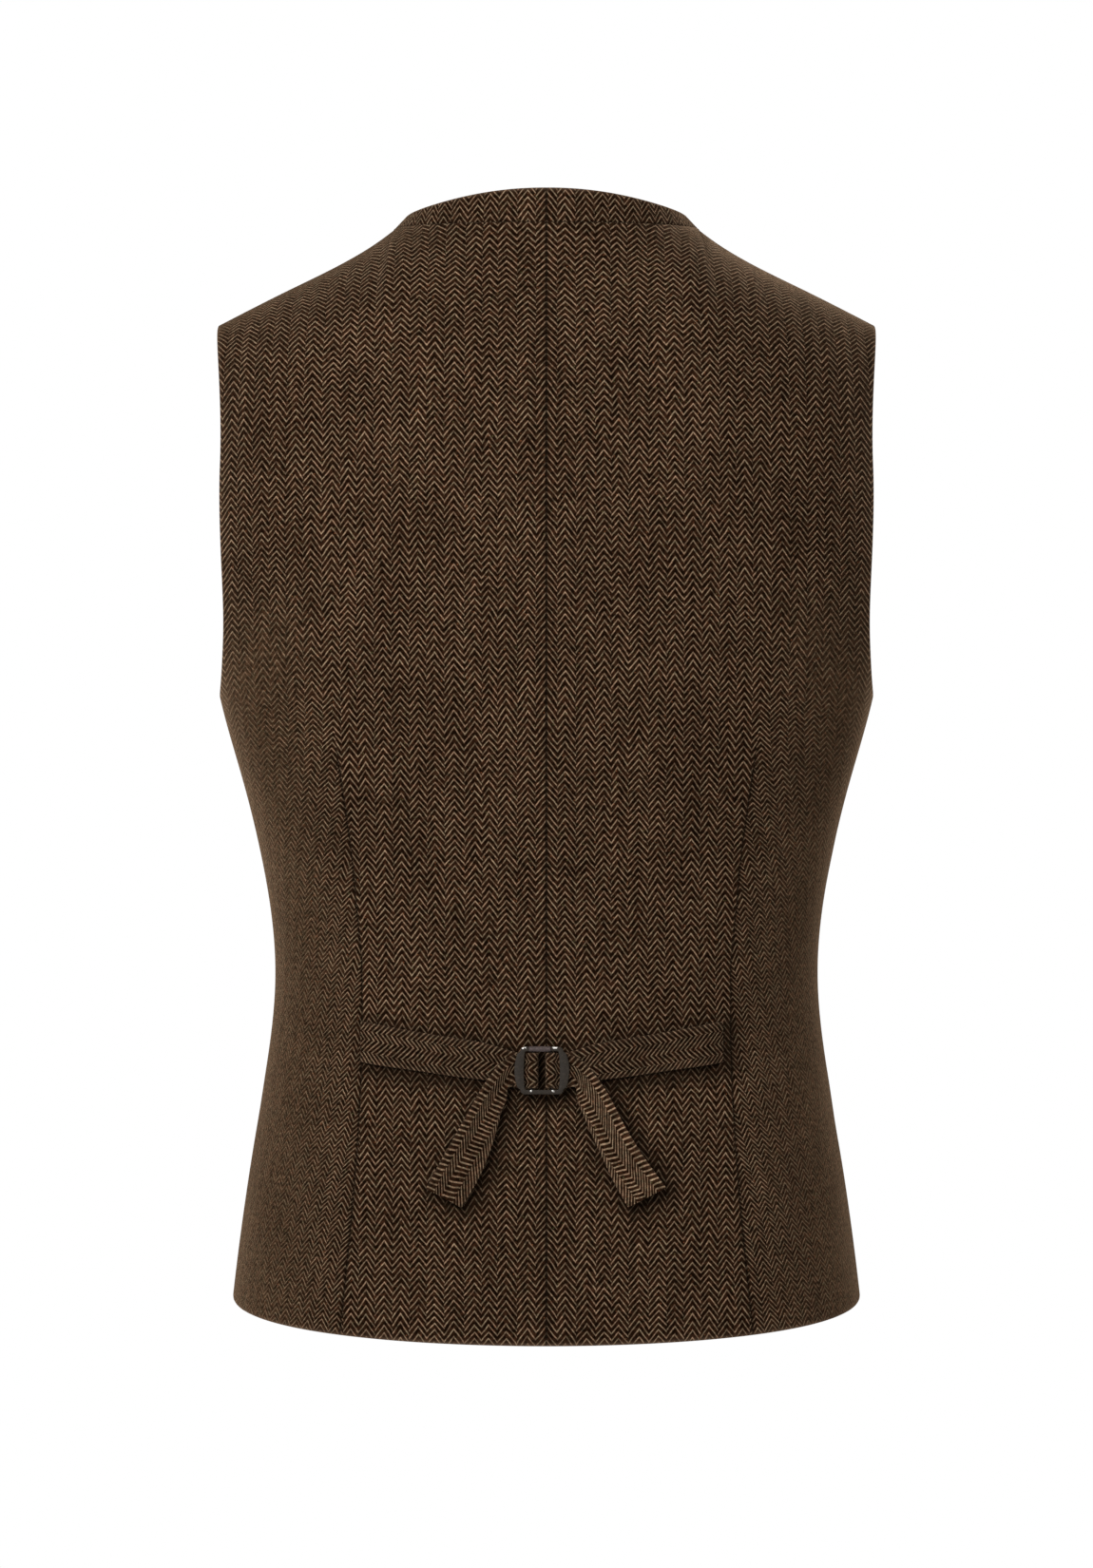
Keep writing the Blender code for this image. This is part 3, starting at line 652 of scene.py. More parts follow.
# %% [markdown]
# ## A wall of cloth
#
# Blender bends a flat grid into each piece, and Solidify gives it the thickness of face cloth,
# interlining and lining together. The wall grows inwards, so the drafted points stay the outer
# face. Solidify keeps the grid's points first in the new mesh, which lets the rounded edges sink
# in the face alone, while the reverse stays smooth as a lining does. Three attributes go with the
# points: "seam" marks the ditches, where dirt and shade gather, "fold" marks free edges,
# which are painted paler, partly as wear and partly as a painted highlight, and the third marks
# the sides and shoulders, where arms and coats raise the nap and a painted sheen lies over it,
# so the weave blurs.

# %% A bent grid
def new_object(name, data):
    obj = bpy.data.objects.new(name, data)
    bpy.context.scene.collection.objects.link(obj)
    return obj


def as_mesh(name, bm):
    mesh = bpy.data.meshes.new(name)
    bm.to_mesh(mesh)
    bm.free()
    return mesh


def grid_mesh(name, grid, outward):
    rows, columns = grid.shape[:2]
    bm = bmesh.new()
    bmesh.ops.create_grid(bm, x_segments=columns - 1, y_segments=rows - 1, size=1)
    bm.verts.ensure_lookup_table()
    for vert, point in zip(bm.verts, grid.reshape(-1, 3)):
        vert.co = point
    bm.normal_update()
    bm.faces.ensure_lookup_table()
    middle = bm.faces[len(bm.faces) // 2 + columns // 2]
    if middle.normal.dot(Vector(outward)) < 0:
        bmesh.ops.reverse_faces(bm, faces=bm.faces[:])
    return as_mesh(name, bm)


# %% Places and masks on the mesh
def lay_out(mesh, columns, cut_inside, cut_outside, split):
    """The UV map of places on the cloth; faces from column split outwards read the second set."""
    count = len(mesh.loops)
    points = np.zeros(count, np.int64)
    mesh.loops.foreach_get("vertex_index", points)
    column = (np.arange(count) // 4) % (columns - 1)
    places = np.where(
        (column < split)[:, None],
        cut_inside.reshape(-1, 2)[points],
        cut_outside.reshape(-1, 2)[points],
    )
    layer = mesh.uv_layers.new(name="cut")
    layer.uv.foreach_set("vector", places.astype(np.float32).ravel())


def mark(mesh, name, values):
    attribute = mesh.attributes.new(name, "FLOAT", "POINT")
    attribute.data.foreach_set("value", values.astype(np.float32).ravel())


NAP_AND_SHEEN_BELOW = (-0.200, -0.290)  # the sides carry raised nap and a painted sheen below this height
NAP_AND_SHEEN_START = (-0.05, 0.55)  # shares of the way from the dart to the side seam
NAP_AND_SHEEN_EASE = 0.55  # how much less nap and painted sheen lie at the side seam itself
NAP_AND_SHEEN_SHOULDER = (0.010, 0.045)  # distances from the shoulder seam
SHOULDER_ACROSS = (0.060, 0.100)  # distances from the centre between which that nap and painted sheen begin
FRONT_NAP_AND_SHEEN_FROM = 0.6  # a front has no dart, so this share of its width stands in for it


def nap_and_sheen_share(grid, split):
    """Raised nap, painted sheen: on the side panel past the dart, and over the shoulder's roll."""
    across = run_along(grid, 1)
    low = smoothstep(*NAP_AND_SHEEN_BELOW, grid[..., 2])
    start = across[:, split : split + 1] if split else across[:, -1:] * FRONT_NAP_AND_SHEEN_FROM
    share = (across - start) / (across[:, -1:] - start)
    side = smoothstep(*NAP_AND_SHEEN_START, share) * (1 - NAP_AND_SHEEN_EASE * smoothstep(0.5, 1, share)) * low
    up = run_along(grid, 0)
    shoulder = 1 - smoothstep(*NAP_AND_SHEEN_SHOULDER, up[-1:] - up)
    return np.maximum(side, shoulder * smoothstep(*SHOULDER_ACROSS, np.abs(grid[..., 0])))


RAISED = nap_and_sheen_share(BACK, DART_COLUMN) > 0.5
print("share of the back's points with raised nap", round(float(RAISED.mean()), 3))

# %% Thickness, sunk edges and the seam allowance
CLOTH = 0.0024
SEAM_ALLOWANCE = 0.0006


def thicken(obj, thickness, offset):
    """Solidify: an offset of -1 grows inwards and 0 grows both ways."""
    wall = obj.modifiers.new("wall", "SOLIDIFY")
    wall.thickness = thickness
    wall.offset = offset


def finished_mesh(obj):
    """The object's mesh with its modifiers applied."""
    graph = bpy.context.evaluated_depsgraph_get()
    mesh = bpy.data.meshes.new_from_object(obj.evaluated_get(graph))
    obj.modifiers.clear()
    mesh.name = obj.name
    obj.data = mesh
    return mesh


def sink_face(mesh, grid, face, depth, hand):
    """Lowers the drafted points, which come first in the mesh, by their depths."""
    points = np.zeros(len(mesh.vertices) * 3, np.float32)
    mesh.vertices.foreach_get("co", points)
    points = points.reshape(-1, 3)
    drafted = depth.size
    points[:drafted] -= (normals(grid, face) * hand * depth[..., None]).reshape(-1, 3)
    mesh.vertices.foreach_set("co", points.ravel())
    mesh.update()


def overlap_reverse(mesh, grid, hand):
    """Lets the reverse of the centre seam cross the middle, as a seam allowance does."""
    rows, columns = grid.shape[:2]
    for row in range(rows):
        mesh.vertices[rows * columns + row * columns].co.x = -hand * SEAM_ALLOWANCE


print("the wall is", CLOTH, "thick")

# %% One cut piece
SEAM_PRESS = {"inner": 1.0, "top": 0.45, "bottom": 0.45, "side": 1.0, "outer": 0.6, "dart": 1.0}
SEAM_TINT_WIDTH = 0.0009
FOLD_TINT_WIDTH = 0.0014


def cloth_piece(name, grid, face, cut, folds, seams, split=0, hand=1):
    """One cut piece. hand is -1 for a right piece, whose grid is the left one's mirror image."""
    away = distances(grid)
    nearest_fold = [away[edge] for edge in folds]
    pressed_seams = [(away[edge], SEAM_PRESS[edge]) for edge in seams]
    if split:
        pressed_seams.append((dart_distance(grid), SEAM_PRESS["dart"]))
    depth = sunk(nearest_fold, pressed_seams)
    ditch = [press * np.exp(-((seam / SEAM_TINT_WIDTH) ** 2)) for seam, press in pressed_seams]
    mirror = np.array([hand, 1, 1])
    grid = grid * mirror
    grid = grid - normals(grid, face) * hand * crease_depth(grid, face)[..., None]
    if "inner" in seams:
        grid[:, 0, 0] = hand * HALF_SEAM
    outward = (0, 1, 0) if face == "back" else (0, -1, 0)
    mesh = grid_mesh(name, grid, outward)
    lay_out(mesh, grid.shape[1], *cut, split)
    mark(mesh, "seam", np.max(ditch, axis=0))
    # free edges are painted paler, partly as wear and partly as a painted highlight
    mark(mesh, "fold", np.exp(-((np.min(nearest_fold, axis=0) / FOLD_TINT_WIDTH) ** 2)))
    meets_arms = "armhole" in folds
    mark(mesh, "nap_and_sheen", nap_and_sheen_share(grid * mirror, split) if meets_arms else np.zeros(depth.shape))
    obj = new_object(name, mesh)
    thicken(obj, CLOTH, -1)
    faces = len(mesh.polygons)
    mesh = finished_mesh(obj)
    for face_of_reverse in mesh.polygons[faces : 2 * faces]:
        face_of_reverse.material_index = 1
    sink_face(mesh, grid, face, depth, hand)
    if face == "back" and "inner" in seams:
        overlap_reverse(mesh, grid, hand)
    mesh.shade_smooth()
    return obj


# %% [markdown]
# ## The six cut pieces
#
# Left and right are mirror images, and their cloth is laid out the same way, so the weave meets
# in a mirrored pattern at the centre back. The folds named here are the hem, the armhole, the
# neck and the front edges. The seams are the centre back, the sides, the shoulders and the band.

# %% Backs, fronts and band
PANELS = {}
for side, hand in (("left", 1), ("right", -1)):
    front = FRONTS[side]
    PANELS[f"back_{side}"] = cloth_piece(
        f"back_cloth_{side}", BACK, "back", BACK_CUTS,
        folds=["bottom", "armhole"], seams=["inner", "side", "top"], split=DART_COLUMN, hand=hand,
    )
    PANELS[f"front_{side}"] = cloth_piece(
        f"front_cloth_{side}", front, "front", (front_cut(front),) * 2,
        folds=["bottom", "inner", "armhole"], seams=["side", "top"], hand=hand,
    )
    PANELS[f"neck_band_{side}"] = cloth_piece(
        f"neck_band_cloth_{side}", BAND, "back", (band_cut(BAND),) * 2,
        folds=["top"], seams=["inner", "bottom", "outer"], hand=hand,
    )
for node, piece in PANELS.items():
    print(node, len(piece.data.polygons), "faces")

# %% [markdown]
# ## Cinch straps
#
# A cinch strap is a folded and pressed strip. It comes out of the dart, lies on the back, passes
# under a side bar of the buckle, turns round an inner bar and hangs out again as a tail. A table
# gives its two edges and its height above the cloth at stations along it, and a spline through
# them gives one smooth strip. A cloth simulation would need the buckle's real friction to end in
# the same place, so the bends are drafted.

# %% The straps' stations, measured from the buckle
BUCKLE_ACROSS = 0.0026
BUCKLE_HEIGHT = -0.4955
STRAP_IN = (
    # upper edge: across, height; lower edge: across, height; stand above the cloth
    (0.1022, 0.0270, 0.1022, 0.0042, -0.0002),
    (0.0980, 0.0263, 0.0980, 0.0034, 0.0013),
    (0.0730, 0.0220, 0.0730, 0.0002, 0.0014),
    (0.0430, 0.0174, 0.0430, -0.0038, 0.0014),
    (0.0240, 0.0134, 0.0240, -0.0066, 0.0014),
    (0.0160, 0.0108, 0.0160, -0.0088, 0.0013),
    (0.0105, 0.0099, 0.0105, -0.0097, 0.0013),
    (0.0065, 0.0098, 0.0065, -0.0098, 0.0013),
    (0.0037, 0.0098, 0.0037, -0.0098, 0.0024),
    (0.0028, 0.0098, 0.0028, -0.0098, 0.0043),
    (0.0036, 0.0098, 0.0036, -0.0098, 0.0061),
    (0.0052, 0.0098, 0.0052, -0.0098, 0.0068),
    (0.0068, 0.0098, 0.0068, -0.0098, 0.0057),
    (0.0079, 0.0098, 0.0079, -0.0098, 0.0040),
    (0.0096, 0.0098, 0.0096, -0.0098, 0.0033),
    (0.0125, 0.0097, 0.0125, -0.0094, 0.0033),
    (0.0160, 0.0090, 0.0158, -0.0088, 0.0034),
)
STRAP_TAIL = {
    "left": (
        # outer edge: across, height; inner edge: across, height; stand of each edge
        (0.0212, 0.0058, 0.0188, -0.0098, 0.0044, 0.0036),
        (0.0272, -0.0010, 0.0196, -0.0150, 0.0060, 0.0038),
        (0.0332, -0.0096, 0.0222, -0.0222, 0.0060, 0.0042),
        (0.0394, -0.0206, 0.0250, -0.0330, 0.0056, 0.0046),
        (0.0458, -0.0322, 0.0282, -0.0430, 0.0058, 0.0042),
        (0.0546, -0.0480, 0.0334, -0.0562, 0.0056, 0.0038),
        (0.0638, -0.0652, 0.0444, -0.0753, 0.0054, 0.0036),
    ),
    "right": (
        (0.0216, 0.0062, 0.0188, -0.0092, 0.0044, 0.0036),
        (0.0278, 0.0000, 0.0196, -0.0150, 0.0060, 0.0038),
        (0.0340, -0.0086, 0.0228, -0.0234, 0.0060, 0.0042),
        (0.0400, -0.0190, 0.0272, -0.0342, 0.0056, 0.0046),
        (0.0460, -0.0310, 0.0322, -0.0446, 0.0066, 0.0038),
        (0.0550, -0.0458, 0.0382, -0.0578, 0.0064, 0.0034),
        (0.0684, -0.0648, 0.0478, -0.0752, 0.0062, 0.0032),
    ),
}
print("stations to the buckle", len(STRAP_IN), "and in a tail", len(STRAP_TAIL["left"]))

# %% The surface of the back
SLOPE_STEP = 0.001  # span over which the surface's slope is measured


def back_depth_at(across, height):
    power = SQUARENESS["back"]
    half_width, depth, _ = spline(FORM, height)[0]
    return depth * (1 - min(abs(across) / half_width, 1.0) ** power) ** (1 / power)


def back_surface(across, height):
    """Point and outward direction of the back's outer face."""
    half = SLOPE_STEP / 2
    rise_across = back_depth_at(across + half, height) - back_depth_at(across - half, height)
    rise_up = back_depth_at(across, height + half) - back_depth_at(across, height - half)
    out = Vector((-rise_across, SLOPE_STEP, -rise_up)).normalized()
    return Vector((across, back_depth_at(across, height), height)), out


print("the back behind the buckle", back_surface(BUCKLE_ACROSS, BUCKLE_HEIGHT)[0])

# %% A strap over the back
STRAP_CLOTH = 0.0016
STRAP_SPACING = 0.0011
STRAP_COLUMNS = 13
STRAP_ROLL = 0.0007  # radius of a strap's folded edges
TAIL_LIGHT_SHARE = {"left": 0.25, "right": 1.0}  # each tail is painted lighter, the right one more: painted light
TAIL_LIGHT_FROM = (0.55, 0.72)  # shares of the strap's length between which its tail begins
STRAP_CUT_START = {"left": 0.0400, "right": 0.0655}  # where on the cloth each strap was cut
SQUARE_CORNER = math.radians(60)  # an edge that turns more than this is a corner to round


def strap_grid(side):
    """A strap's middle surface: rows follow its length and columns cross it."""
    way = 1 if side == "left" else -1
    table = np.array([(*row, row[4]) for row in STRAP_IN] + list(STRAP_TAIL[side]))
    across_1, height_1, across_2, height_2, stand_1, _ = table.T
    middle = np.stack([(across_1 + across_2) / 2, (height_1 + height_2) / 2, stand_1], axis=-1)
    run = lengths(middle)
    knots = [(step, *row) for step, row in zip(run, table)]
    steps = np.linspace(0, run[-1], round(run[-1] / STRAP_SPACING) + 1)
    grid = []
    for row in spline(knots, steps):
        line = []
        for share in np.linspace(0, 1, STRAP_COLUMNS + 1):
            across, height, stand = row[[0, 1, 4]] + (row[[2, 3, 5]] - row[[0, 1, 4]]) * share
            point, out = back_surface(BUCKLE_ACROSS + way * across, BUCKLE_HEIGHT + height)
            line.append(np.array(point + out * stand))
        grid.append(line)
    return np.array(grid)


def strap_piece(side):
    grid = strap_grid(side)
    mesh = grid_mesh(f"strap_cloth_{side}", grid, (0, 1, 0))
    width = run_along(grid, 1)
    cut = np.stack([width + STRAP_CUT_START[side], run_along(grid, 0)], -1)
    lay_out(mesh, grid.shape[1], cut, cut, 0)
    edge = np.minimum(width, width[:, -1:] - width)
    nowhere = np.zeros(edge.shape)
    mark(mesh, "seam", nowhere)
    # the strap's folded edges are painted paler, partly as wear and partly as a painted highlight
    mark(mesh, "fold", np.exp(-((edge / FOLD_TINT_WIDTH) ** 2)))
    mark(mesh, "nap_and_sheen", nowhere)
    # the strap is painted lighter along its tail: painted light
    tail = smoothstep(*TAIL_LIGHT_FROM, np.linspace(0, 1, len(grid)))[:, None]
    mark(mesh, "tail_light", TAIL_LIGHT_SHARE[side] * tail + nowhere)
    obj = new_object(f"strap_cloth_{side}", mesh)
    thicken(obj, STRAP_CLOTH, 0)
    roll = obj.modifiers.new("roll", "BEVEL")
    roll.width = STRAP_ROLL
    roll.segments = 3
    roll.angle_limit = SQUARE_CORNER
    finished_mesh(obj).shade_smooth()
    print(obj.name, "length", round(float(run_along(grid, 0)[-1].mean()), 4))
    return obj, grid


STRAPS = {side: strap_piece(side) for side in ("left", "right")}

# %% [markdown]
# ## The cinch buckle
#
# The buckle is a stamped frame with swollen side bars. A loose roller sits on its top bar, and two
# inner bars hold the straps. The frame starts as two outlines, and bridge_loops fills the ring
# between them. It is extruded to the plate's thickness and all its corners are bevelled, because
# stamped plate has no sharp corner.

# %% The frame's outlines
FRAME_THICK = 0.0016
WINDOW_HALF_WIDTH = 0.0094
WINDOW_HALF_HEIGHT = 0.0108
FRAME_HALF_HEIGHT = 0.0133
FRAME_END_HALF = 0.0121  # half width at the corners
FRAME_BULGE = 0.0033  # how far the side bars swell past the corners
FRAME_CORNER = 0.0026  # radius of the frame's outer corners
WINDOW_CORNER = 0.0009
WINDOW_SWELL = 0.0006
CORNER_STEPS = 7
SIDE_STEPS = 16
BAR_STEPS = 14


def rounded_corner(sign_across, sign_height, half_width, half_height, radius):
    """The arc of one corner, running counter-clockwise round the frame."""
    start = math.atan2(sign_height, sign_across) - math.pi / 4
    for step in range(CORNER_STEPS + 1):
        angle = start + math.pi / 2 * step / CORNER_STEPS
        across = sign_across * (half_width - radius) + radius * math.cos(angle)
        yield across, sign_height * (half_height - radius) + radius * math.sin(angle)


def frame_outline(half_width, half_height, radius, swell):
    """A rounded oblong whose two upright sides swell outwards, counter-clockwise."""
    points = []
    straight = half_height - radius
    for sign_across, sign_height in ((1, 1), (-1, 1), (-1, -1), (1, -1)):
        points += rounded_corner(sign_across, sign_height, half_width, half_height, radius)
        if sign_across == sign_height:
            for step in range(1, BAR_STEPS):
                across = sign_across * (half_width - radius) * (1 - 2 * step / BAR_STEPS)
                points.append((across, sign_height * half_height))
        else:
            for step in range(1, SIDE_STEPS):
                height = sign_height * straight * (1 - 2 * step / SIDE_STEPS)
                reach = half_width + swell * (1 - (height / half_height) ** 2)
                points.append((sign_across * reach, height))
    return points


FRAME_LINE = frame_outline(FRAME_END_HALF, FRAME_HALF_HEIGHT, FRAME_CORNER, FRAME_BULGE)
WINDOW_LINE = frame_outline(WINDOW_HALF_WIDTH, WINDOW_HALF_HEIGHT, WINDOW_CORNER, WINDOW_SWELL)
FRAME_WIDTH = 2 * max(across for across, _ in FRAME_LINE)
print("frame", round(FRAME_WIDTH, 4), "wide and", 2 * FRAME_HALF_HEIGHT, "high")

# %% The plate
FRAME_BEVEL = 0.0004


def ring_of_edges(bm, outline):
    verts = [bm.verts.new((across, height, -FRAME_THICK / 2)) for across, height in outline]
    for first, second in zip(verts, verts[1:] + verts[:1]):
        bm.edges.new((first, second))


def frame_plate():
    """The flat ring of the buckle, in the XY plane, with all its corners rounded."""
    bm = bmesh.new()
    ring_of_edges(bm, FRAME_LINE)
    ring_of_edges(bm, WINDOW_LINE)
    bmesh.ops.bridge_loops(bm, edges=bm.edges[:])
    lifted = bmesh.ops.extrude_face_region(bm, geom=bm.faces[:])["geom"]
    top = [item for item in lifted if isinstance(item, bmesh.types.BMVert)]
    bmesh.ops.translate(bm, verts=top, vec=(0, 0, FRAME_THICK))
    bmesh.ops.recalc_face_normals(bm, faces=bm.faces[:])
    corners = [e for e in bm.edges if e.calc_face_angle(0) > SQUARE_CORNER]
    bmesh.ops.bevel(
        bm, geom=corners, offset=FRAME_BEVEL, affect="EDGES", segments=3, profile=0.5,
        material=-1, clamp_overlap=True,
    )
    return bm


PLATE = frame_plate()
print("plate", len(PLATE.faces), "faces")

# %% Bars and roller
BUCKLE_STAND = 0.0057  # frame's middle above the back
INNER_BAR_AT = 0.0052
INNER_BAR_RADIUS = 0.0008
INNER_BAR_STAND = 0.0044
INNER_BAR_SINK = 0.0010  # how far the bars run into the frame at each end
ROLLER_RADIUS = 0.00155
ROLLER_HALF = 0.0061
ROLLER_OFF_CENTRE = -0.0011
ROLLER_ROUND = 0.00045
ROLLER_CUTS = 15  # cuts along the roller, so that the wear mask has points to lie on
PIN_RADIUS = 0.00062  # the inner bars end in small bright pins on the frame's face
PIN_OUT = 0.0008  # a pin sits this far outside its bar
PIN_FLATNESS = 0.6
UPRIGHT = Matrix.Rotation(math.radians(90), 4, "X")  # turns +Z into -Y


def rod(bm, radius, length, place, sides=24):
    return bmesh.ops.create_cone(
        bm, cap_ends=True, segments=sides, radius1=radius, radius2=radius, depth=length, matrix=place,
    )["verts"]


def add_bars(bm):
    for way in (1, -1):
        place = Matrix.Translation((way * INNER_BAR_AT, 0, INNER_BAR_STAND - BUCKLE_STAND))
        rod(bm, INNER_BAR_RADIUS, 2 * (WINDOW_HALF_HEIGHT + INNER_BAR_SINK), place @ UPRIGHT)
        for end in (1, -1):
            height = end * (WINDOW_HALF_HEIGHT + PIN_RADIUS)
            pin = Matrix.Translation((way * (INNER_BAR_AT + PIN_OUT), height, FRAME_THICK / 2))
            flat = Matrix.Diagonal((1, 1, PIN_FLATNESS, 1))
            bmesh.ops.create_uvsphere(
                bm, u_segments=12, v_segments=8, radius=PIN_RADIUS, matrix=pin @ flat,
            )


def add_roller(bm):
    height = (WINDOW_HALF_HEIGHT + FRAME_HALF_HEIGHT) / 2
    turn = Matrix.Rotation(math.radians(90), 4, "Y")
    place = Matrix.Translation((ROLLER_OFF_CENTRE, height, 0)) @ turn
    verts = rod(bm, ROLLER_RADIUS, 2 * ROLLER_HALF, place, sides=32)
    rims = {e for v in verts for e in v.link_edges if e.calc_face_angle(0) > SQUARE_CORNER}
    bmesh.ops.bevel(
        bm, geom=list(rims), offset=ROLLER_ROUND, affect="EDGES", segments=4, profile=0.5, material=-1,
    )
    long_edges = [e for e in bm.edges if e.calc_length() > ROLLER_HALF]
    bmesh.ops.subdivide_edges(bm, edges=long_edges, cuts=ROLLER_CUTS)


add_bars(PLATE)
TUBE = bmesh.new()
add_roller(TUBE)
print("plate with bars and pins", len(PLATE.faces), "faces, roller", len(TUBE.faces))

# %% [markdown]
# ## Wear on the buckle
#
# Hands and cloth rub the black finish off where it stands out most: at the two upper corners and
# on the pins. The attribute "wear" is worked out from the distance to those spots, because paint
# on a texture would need an image.

# %% The buckle in place
BUCKLE_CREASE = 40  # angle past which an edge is sharp, in degrees
WORN_SPOTS = (
    # across, height, radius of the worn spot
    (-0.0110, 0.0129, 0.0009),
    (-0.0094, 0.0134, 0.0009),
    (0.0066, 0.0132, 0.0010),
    (0.0080, 0.0132, 0.0008),
    (-0.0061, -0.0114, 0.0008),
    (0.0061, -0.0114, 0.0008),
    (0.0082, -0.0115, 0.0005),
)


def buckle_place():
    point, out = back_surface(BUCKLE_ACROSS, BUCKLE_HEIGHT)
    tilt = math.atan2(-out.y, out.z)
    turn = Matrix.Rotation(tilt, 4, "X") @ Matrix.Rotation(math.pi, 4, "Z")
    return Matrix.Translation(point + out * BUCKLE_STAND) @ turn


def placed_buckle(name, bm, place):
    bm.normal_update()
    mesh = as_mesh(name, bm)
    wear = []
    for vert in mesh.vertices:
        nearest = [
            math.exp(-(((vert.co.x - x) ** 2 + (vert.co.y - y) ** 2) / radius**2))
            for x, y, radius in WORN_SPOTS
        ]
        wear.append(max(nearest))
    mark(mesh, "wear", np.array(wear))
    mesh.transform(place)
    mesh.shade_smooth()
    mesh.set_sharp_from_angle(angle=math.radians(BUCKLE_CREASE))
    return new_object(name, mesh)


BUCKLE = placed_buckle("cinch_buckle", PLATE, buckle_place())
ROLLER = placed_buckle("buckle_roller", TUBE, buckle_place())
WEAR = [point.value for point in BUCKLE.data.attributes["wear"].data]
print("points of the buckle worn to bright metal", sum(wear > 0.75 for wear in WEAR))

# %% [markdown]
# ## A painted shadow beside the straps
#
# Straps, tails and buckle shade the back beside them, and that shadow is painted into the
# cloth's colour, so the cloth is darker along their edges. The mask "pressed" holds this
# painted shadow and falls off with the distance from them, measured along the back. It is moved
# away from the light, so it reaches further on the lower right side, where the tails swing.

# %% Painted strap shadow
STRAP_SHADOW_REACH = 0.0062
STRAP_SHADOW_SHIFT = (0.0035, 0.0030)  # how far the mask is moved, to the wearer's right and down


# paints the shadow of the straps, tails and buckle into the back's mask "pressed"
def paint_strap_shadow(piece):
    things = [STRAPS["left"][0], STRAPS["right"][0], BUCKLE]
    places = [v.co for thing in things for v in thing.data.vertices]
    tree = KDTree(len(places))
    for number, place in enumerate(places):
        tree.insert((place.x - STRAP_SHADOW_SHIFT[0], 0, place.z - STRAP_SHADOW_SHIFT[1]), number)
    tree.balance()
    reach = [tree.find((v.co.x, 0, v.co.z))[2] for v in piece.data.vertices]
    mark(piece.data, "pressed", np.exp(-((np.array(reach) / STRAP_SHADOW_REACH) ** 2)))


for side in ("left", "right"):
    paint_strap_shadow(PANELS[f"back_{side}"])
print("pressed nap reaches", STRAP_SHADOW_REACH, "from the straps")

# %% [markdown]
# ## Buttons
#
# A horn button is turned on a lathe, so its half section is drawn once and spun round the axis.
# Four holes are drilled through it with a boolean, as the maker drills them. Two rows of dark
# thread cross the holes, and a wound thread shank lifts the button off the cloth.

# %% One button, its back on z = 0
BUTTON_THICK = 0.0032
BUTTON_STEPS = 48
BUTTON_SECTION = (
    # distance from the axis, height
    (0.0, 0.0), (0.0058, 0.0), (0.0066, 0.0004), (0.0073, 0.0013), (0.0075, 0.0020),
    (0.0074, 0.0027), (0.0070, 0.0031), (0.0065, 0.0032), (0.0061, 0.0031), (0.0056, 0.0026),
    (0.0050, 0.0023), (0.0030, 0.00215), (0.0, 0.0021),
)
HOLE_AT = 0.0013
HOLE_RADIUS = 0.00062


def turned_button():
    bm = bmesh.new()
    verts = [bm.verts.new((across, 0, height)) for across, height in BUTTON_SECTION]
    edges = [bm.edges.new(pair) for pair in zip(verts, verts[1:])]
    bmesh.ops.spin(
        bm, geom=verts + edges, cent=(0, 0, 0), axis=(0, 0, 1), angle=math.tau,
        steps=BUTTON_STEPS, use_merge=True,
    )
    bmesh.ops.remove_doubles(bm, verts=bm.verts[:], dist=1e-6)
    bmesh.ops.recalc_face_normals(bm, faces=bm.faces[:])
    return bm


def as_object(name, bm):
    return new_object(name, as_mesh(name, bm))


def drilled_button():
    button = as_object("button_blank", turned_button())
    bm = bmesh.new()
    for x in (-HOLE_AT, HOLE_AT):
        for y in (-HOLE_AT, HOLE_AT):
            rod(bm, HOLE_RADIUS, 4 * BUTTON_THICK, Matrix.Translation((x, y, 0)), sides=16)
    drill = as_object("drill", bm)
    cut = button.modifiers.new("holes", "BOOLEAN")
    cut.object = drill
    cut.solver = "EXACT"
    mesh = finished_mesh(button)
    bpy.data.objects.remove(drill)
    bpy.data.objects.remove(button)
    return mesh


HORN = drilled_button()
print("drilled button", [round(size, 4) for size in np.ptp([v.co for v in HORN.vertices], axis=0)])

# %% Thread through the holes
BUTTON_CLEAR = 0.0007  # gap between the button and the cloth
THREAD_RADIUS = 0.00033
THREAD_RISE = 0.6  # height of a stitch's arc over its half length
THREAD_APART = 0.55  # each hole takes two strands, this many thread radii off its middle
THREAD_LEVEL = 0.62  # where the arcs start, as a share of the button's thickness
SHANK_RADIUS = 0.0012
SHANK_SINK = 0.4  # the shank's middle lies this share of the gap below the button


def stitches():
    """Two rows of thread over the holes, and the shank below."""
    bm = bmesh.new()
    for y in (-HOLE_AT, HOLE_AT):
        for offset in (-THREAD_APART, THREAD_APART):
            ring = bmesh.ops.create_circle(
                bm, segments=8, radius=THREAD_RADIUS,
                matrix=Matrix.Translation((HOLE_AT, 0, 0)),
            )["verts"]
            edges = list({e for v in ring for e in v.link_edges})
            before = set(bm.verts) - set(ring)
            bmesh.ops.spin(
                bm, geom=ring + edges, cent=(0, 0, 0), axis=(0, -1, 0), angle=math.pi, steps=10,
            )
            strand = [v for v in bm.verts if v not in before]
            bmesh.ops.scale(bm, verts=strand, vec=(1, 1, THREAD_RISE))
            lift = Vector((0, y + offset * THREAD_RADIUS, BUTTON_THICK * THREAD_LEVEL))
            bmesh.ops.translate(bm, verts=strand, vec=lift)
    sink = Matrix.Translation((0, 0, -BUTTON_CLEAR * SHANK_SINK))
    rod(bm, SHANK_RADIUS, 2 * BUTTON_CLEAR, sink, sides=16)
    return bm


# %% Five buttons down the front
TOP_BUTTON = -0.315
BUTTON_PITCH = 0.065
BUTTON_HEIGHTS = tuple(TOP_BUTTON - BUTTON_PITCH * i for i in range(5))
BUTTON_TURN = 0.35  # each button was sewn on turned a little further than the one above, in radians
BUTTON_CREASE = 38  # angle past which an edge is sharp, in degrees
STITCHES = as_mesh("thread", stitches())


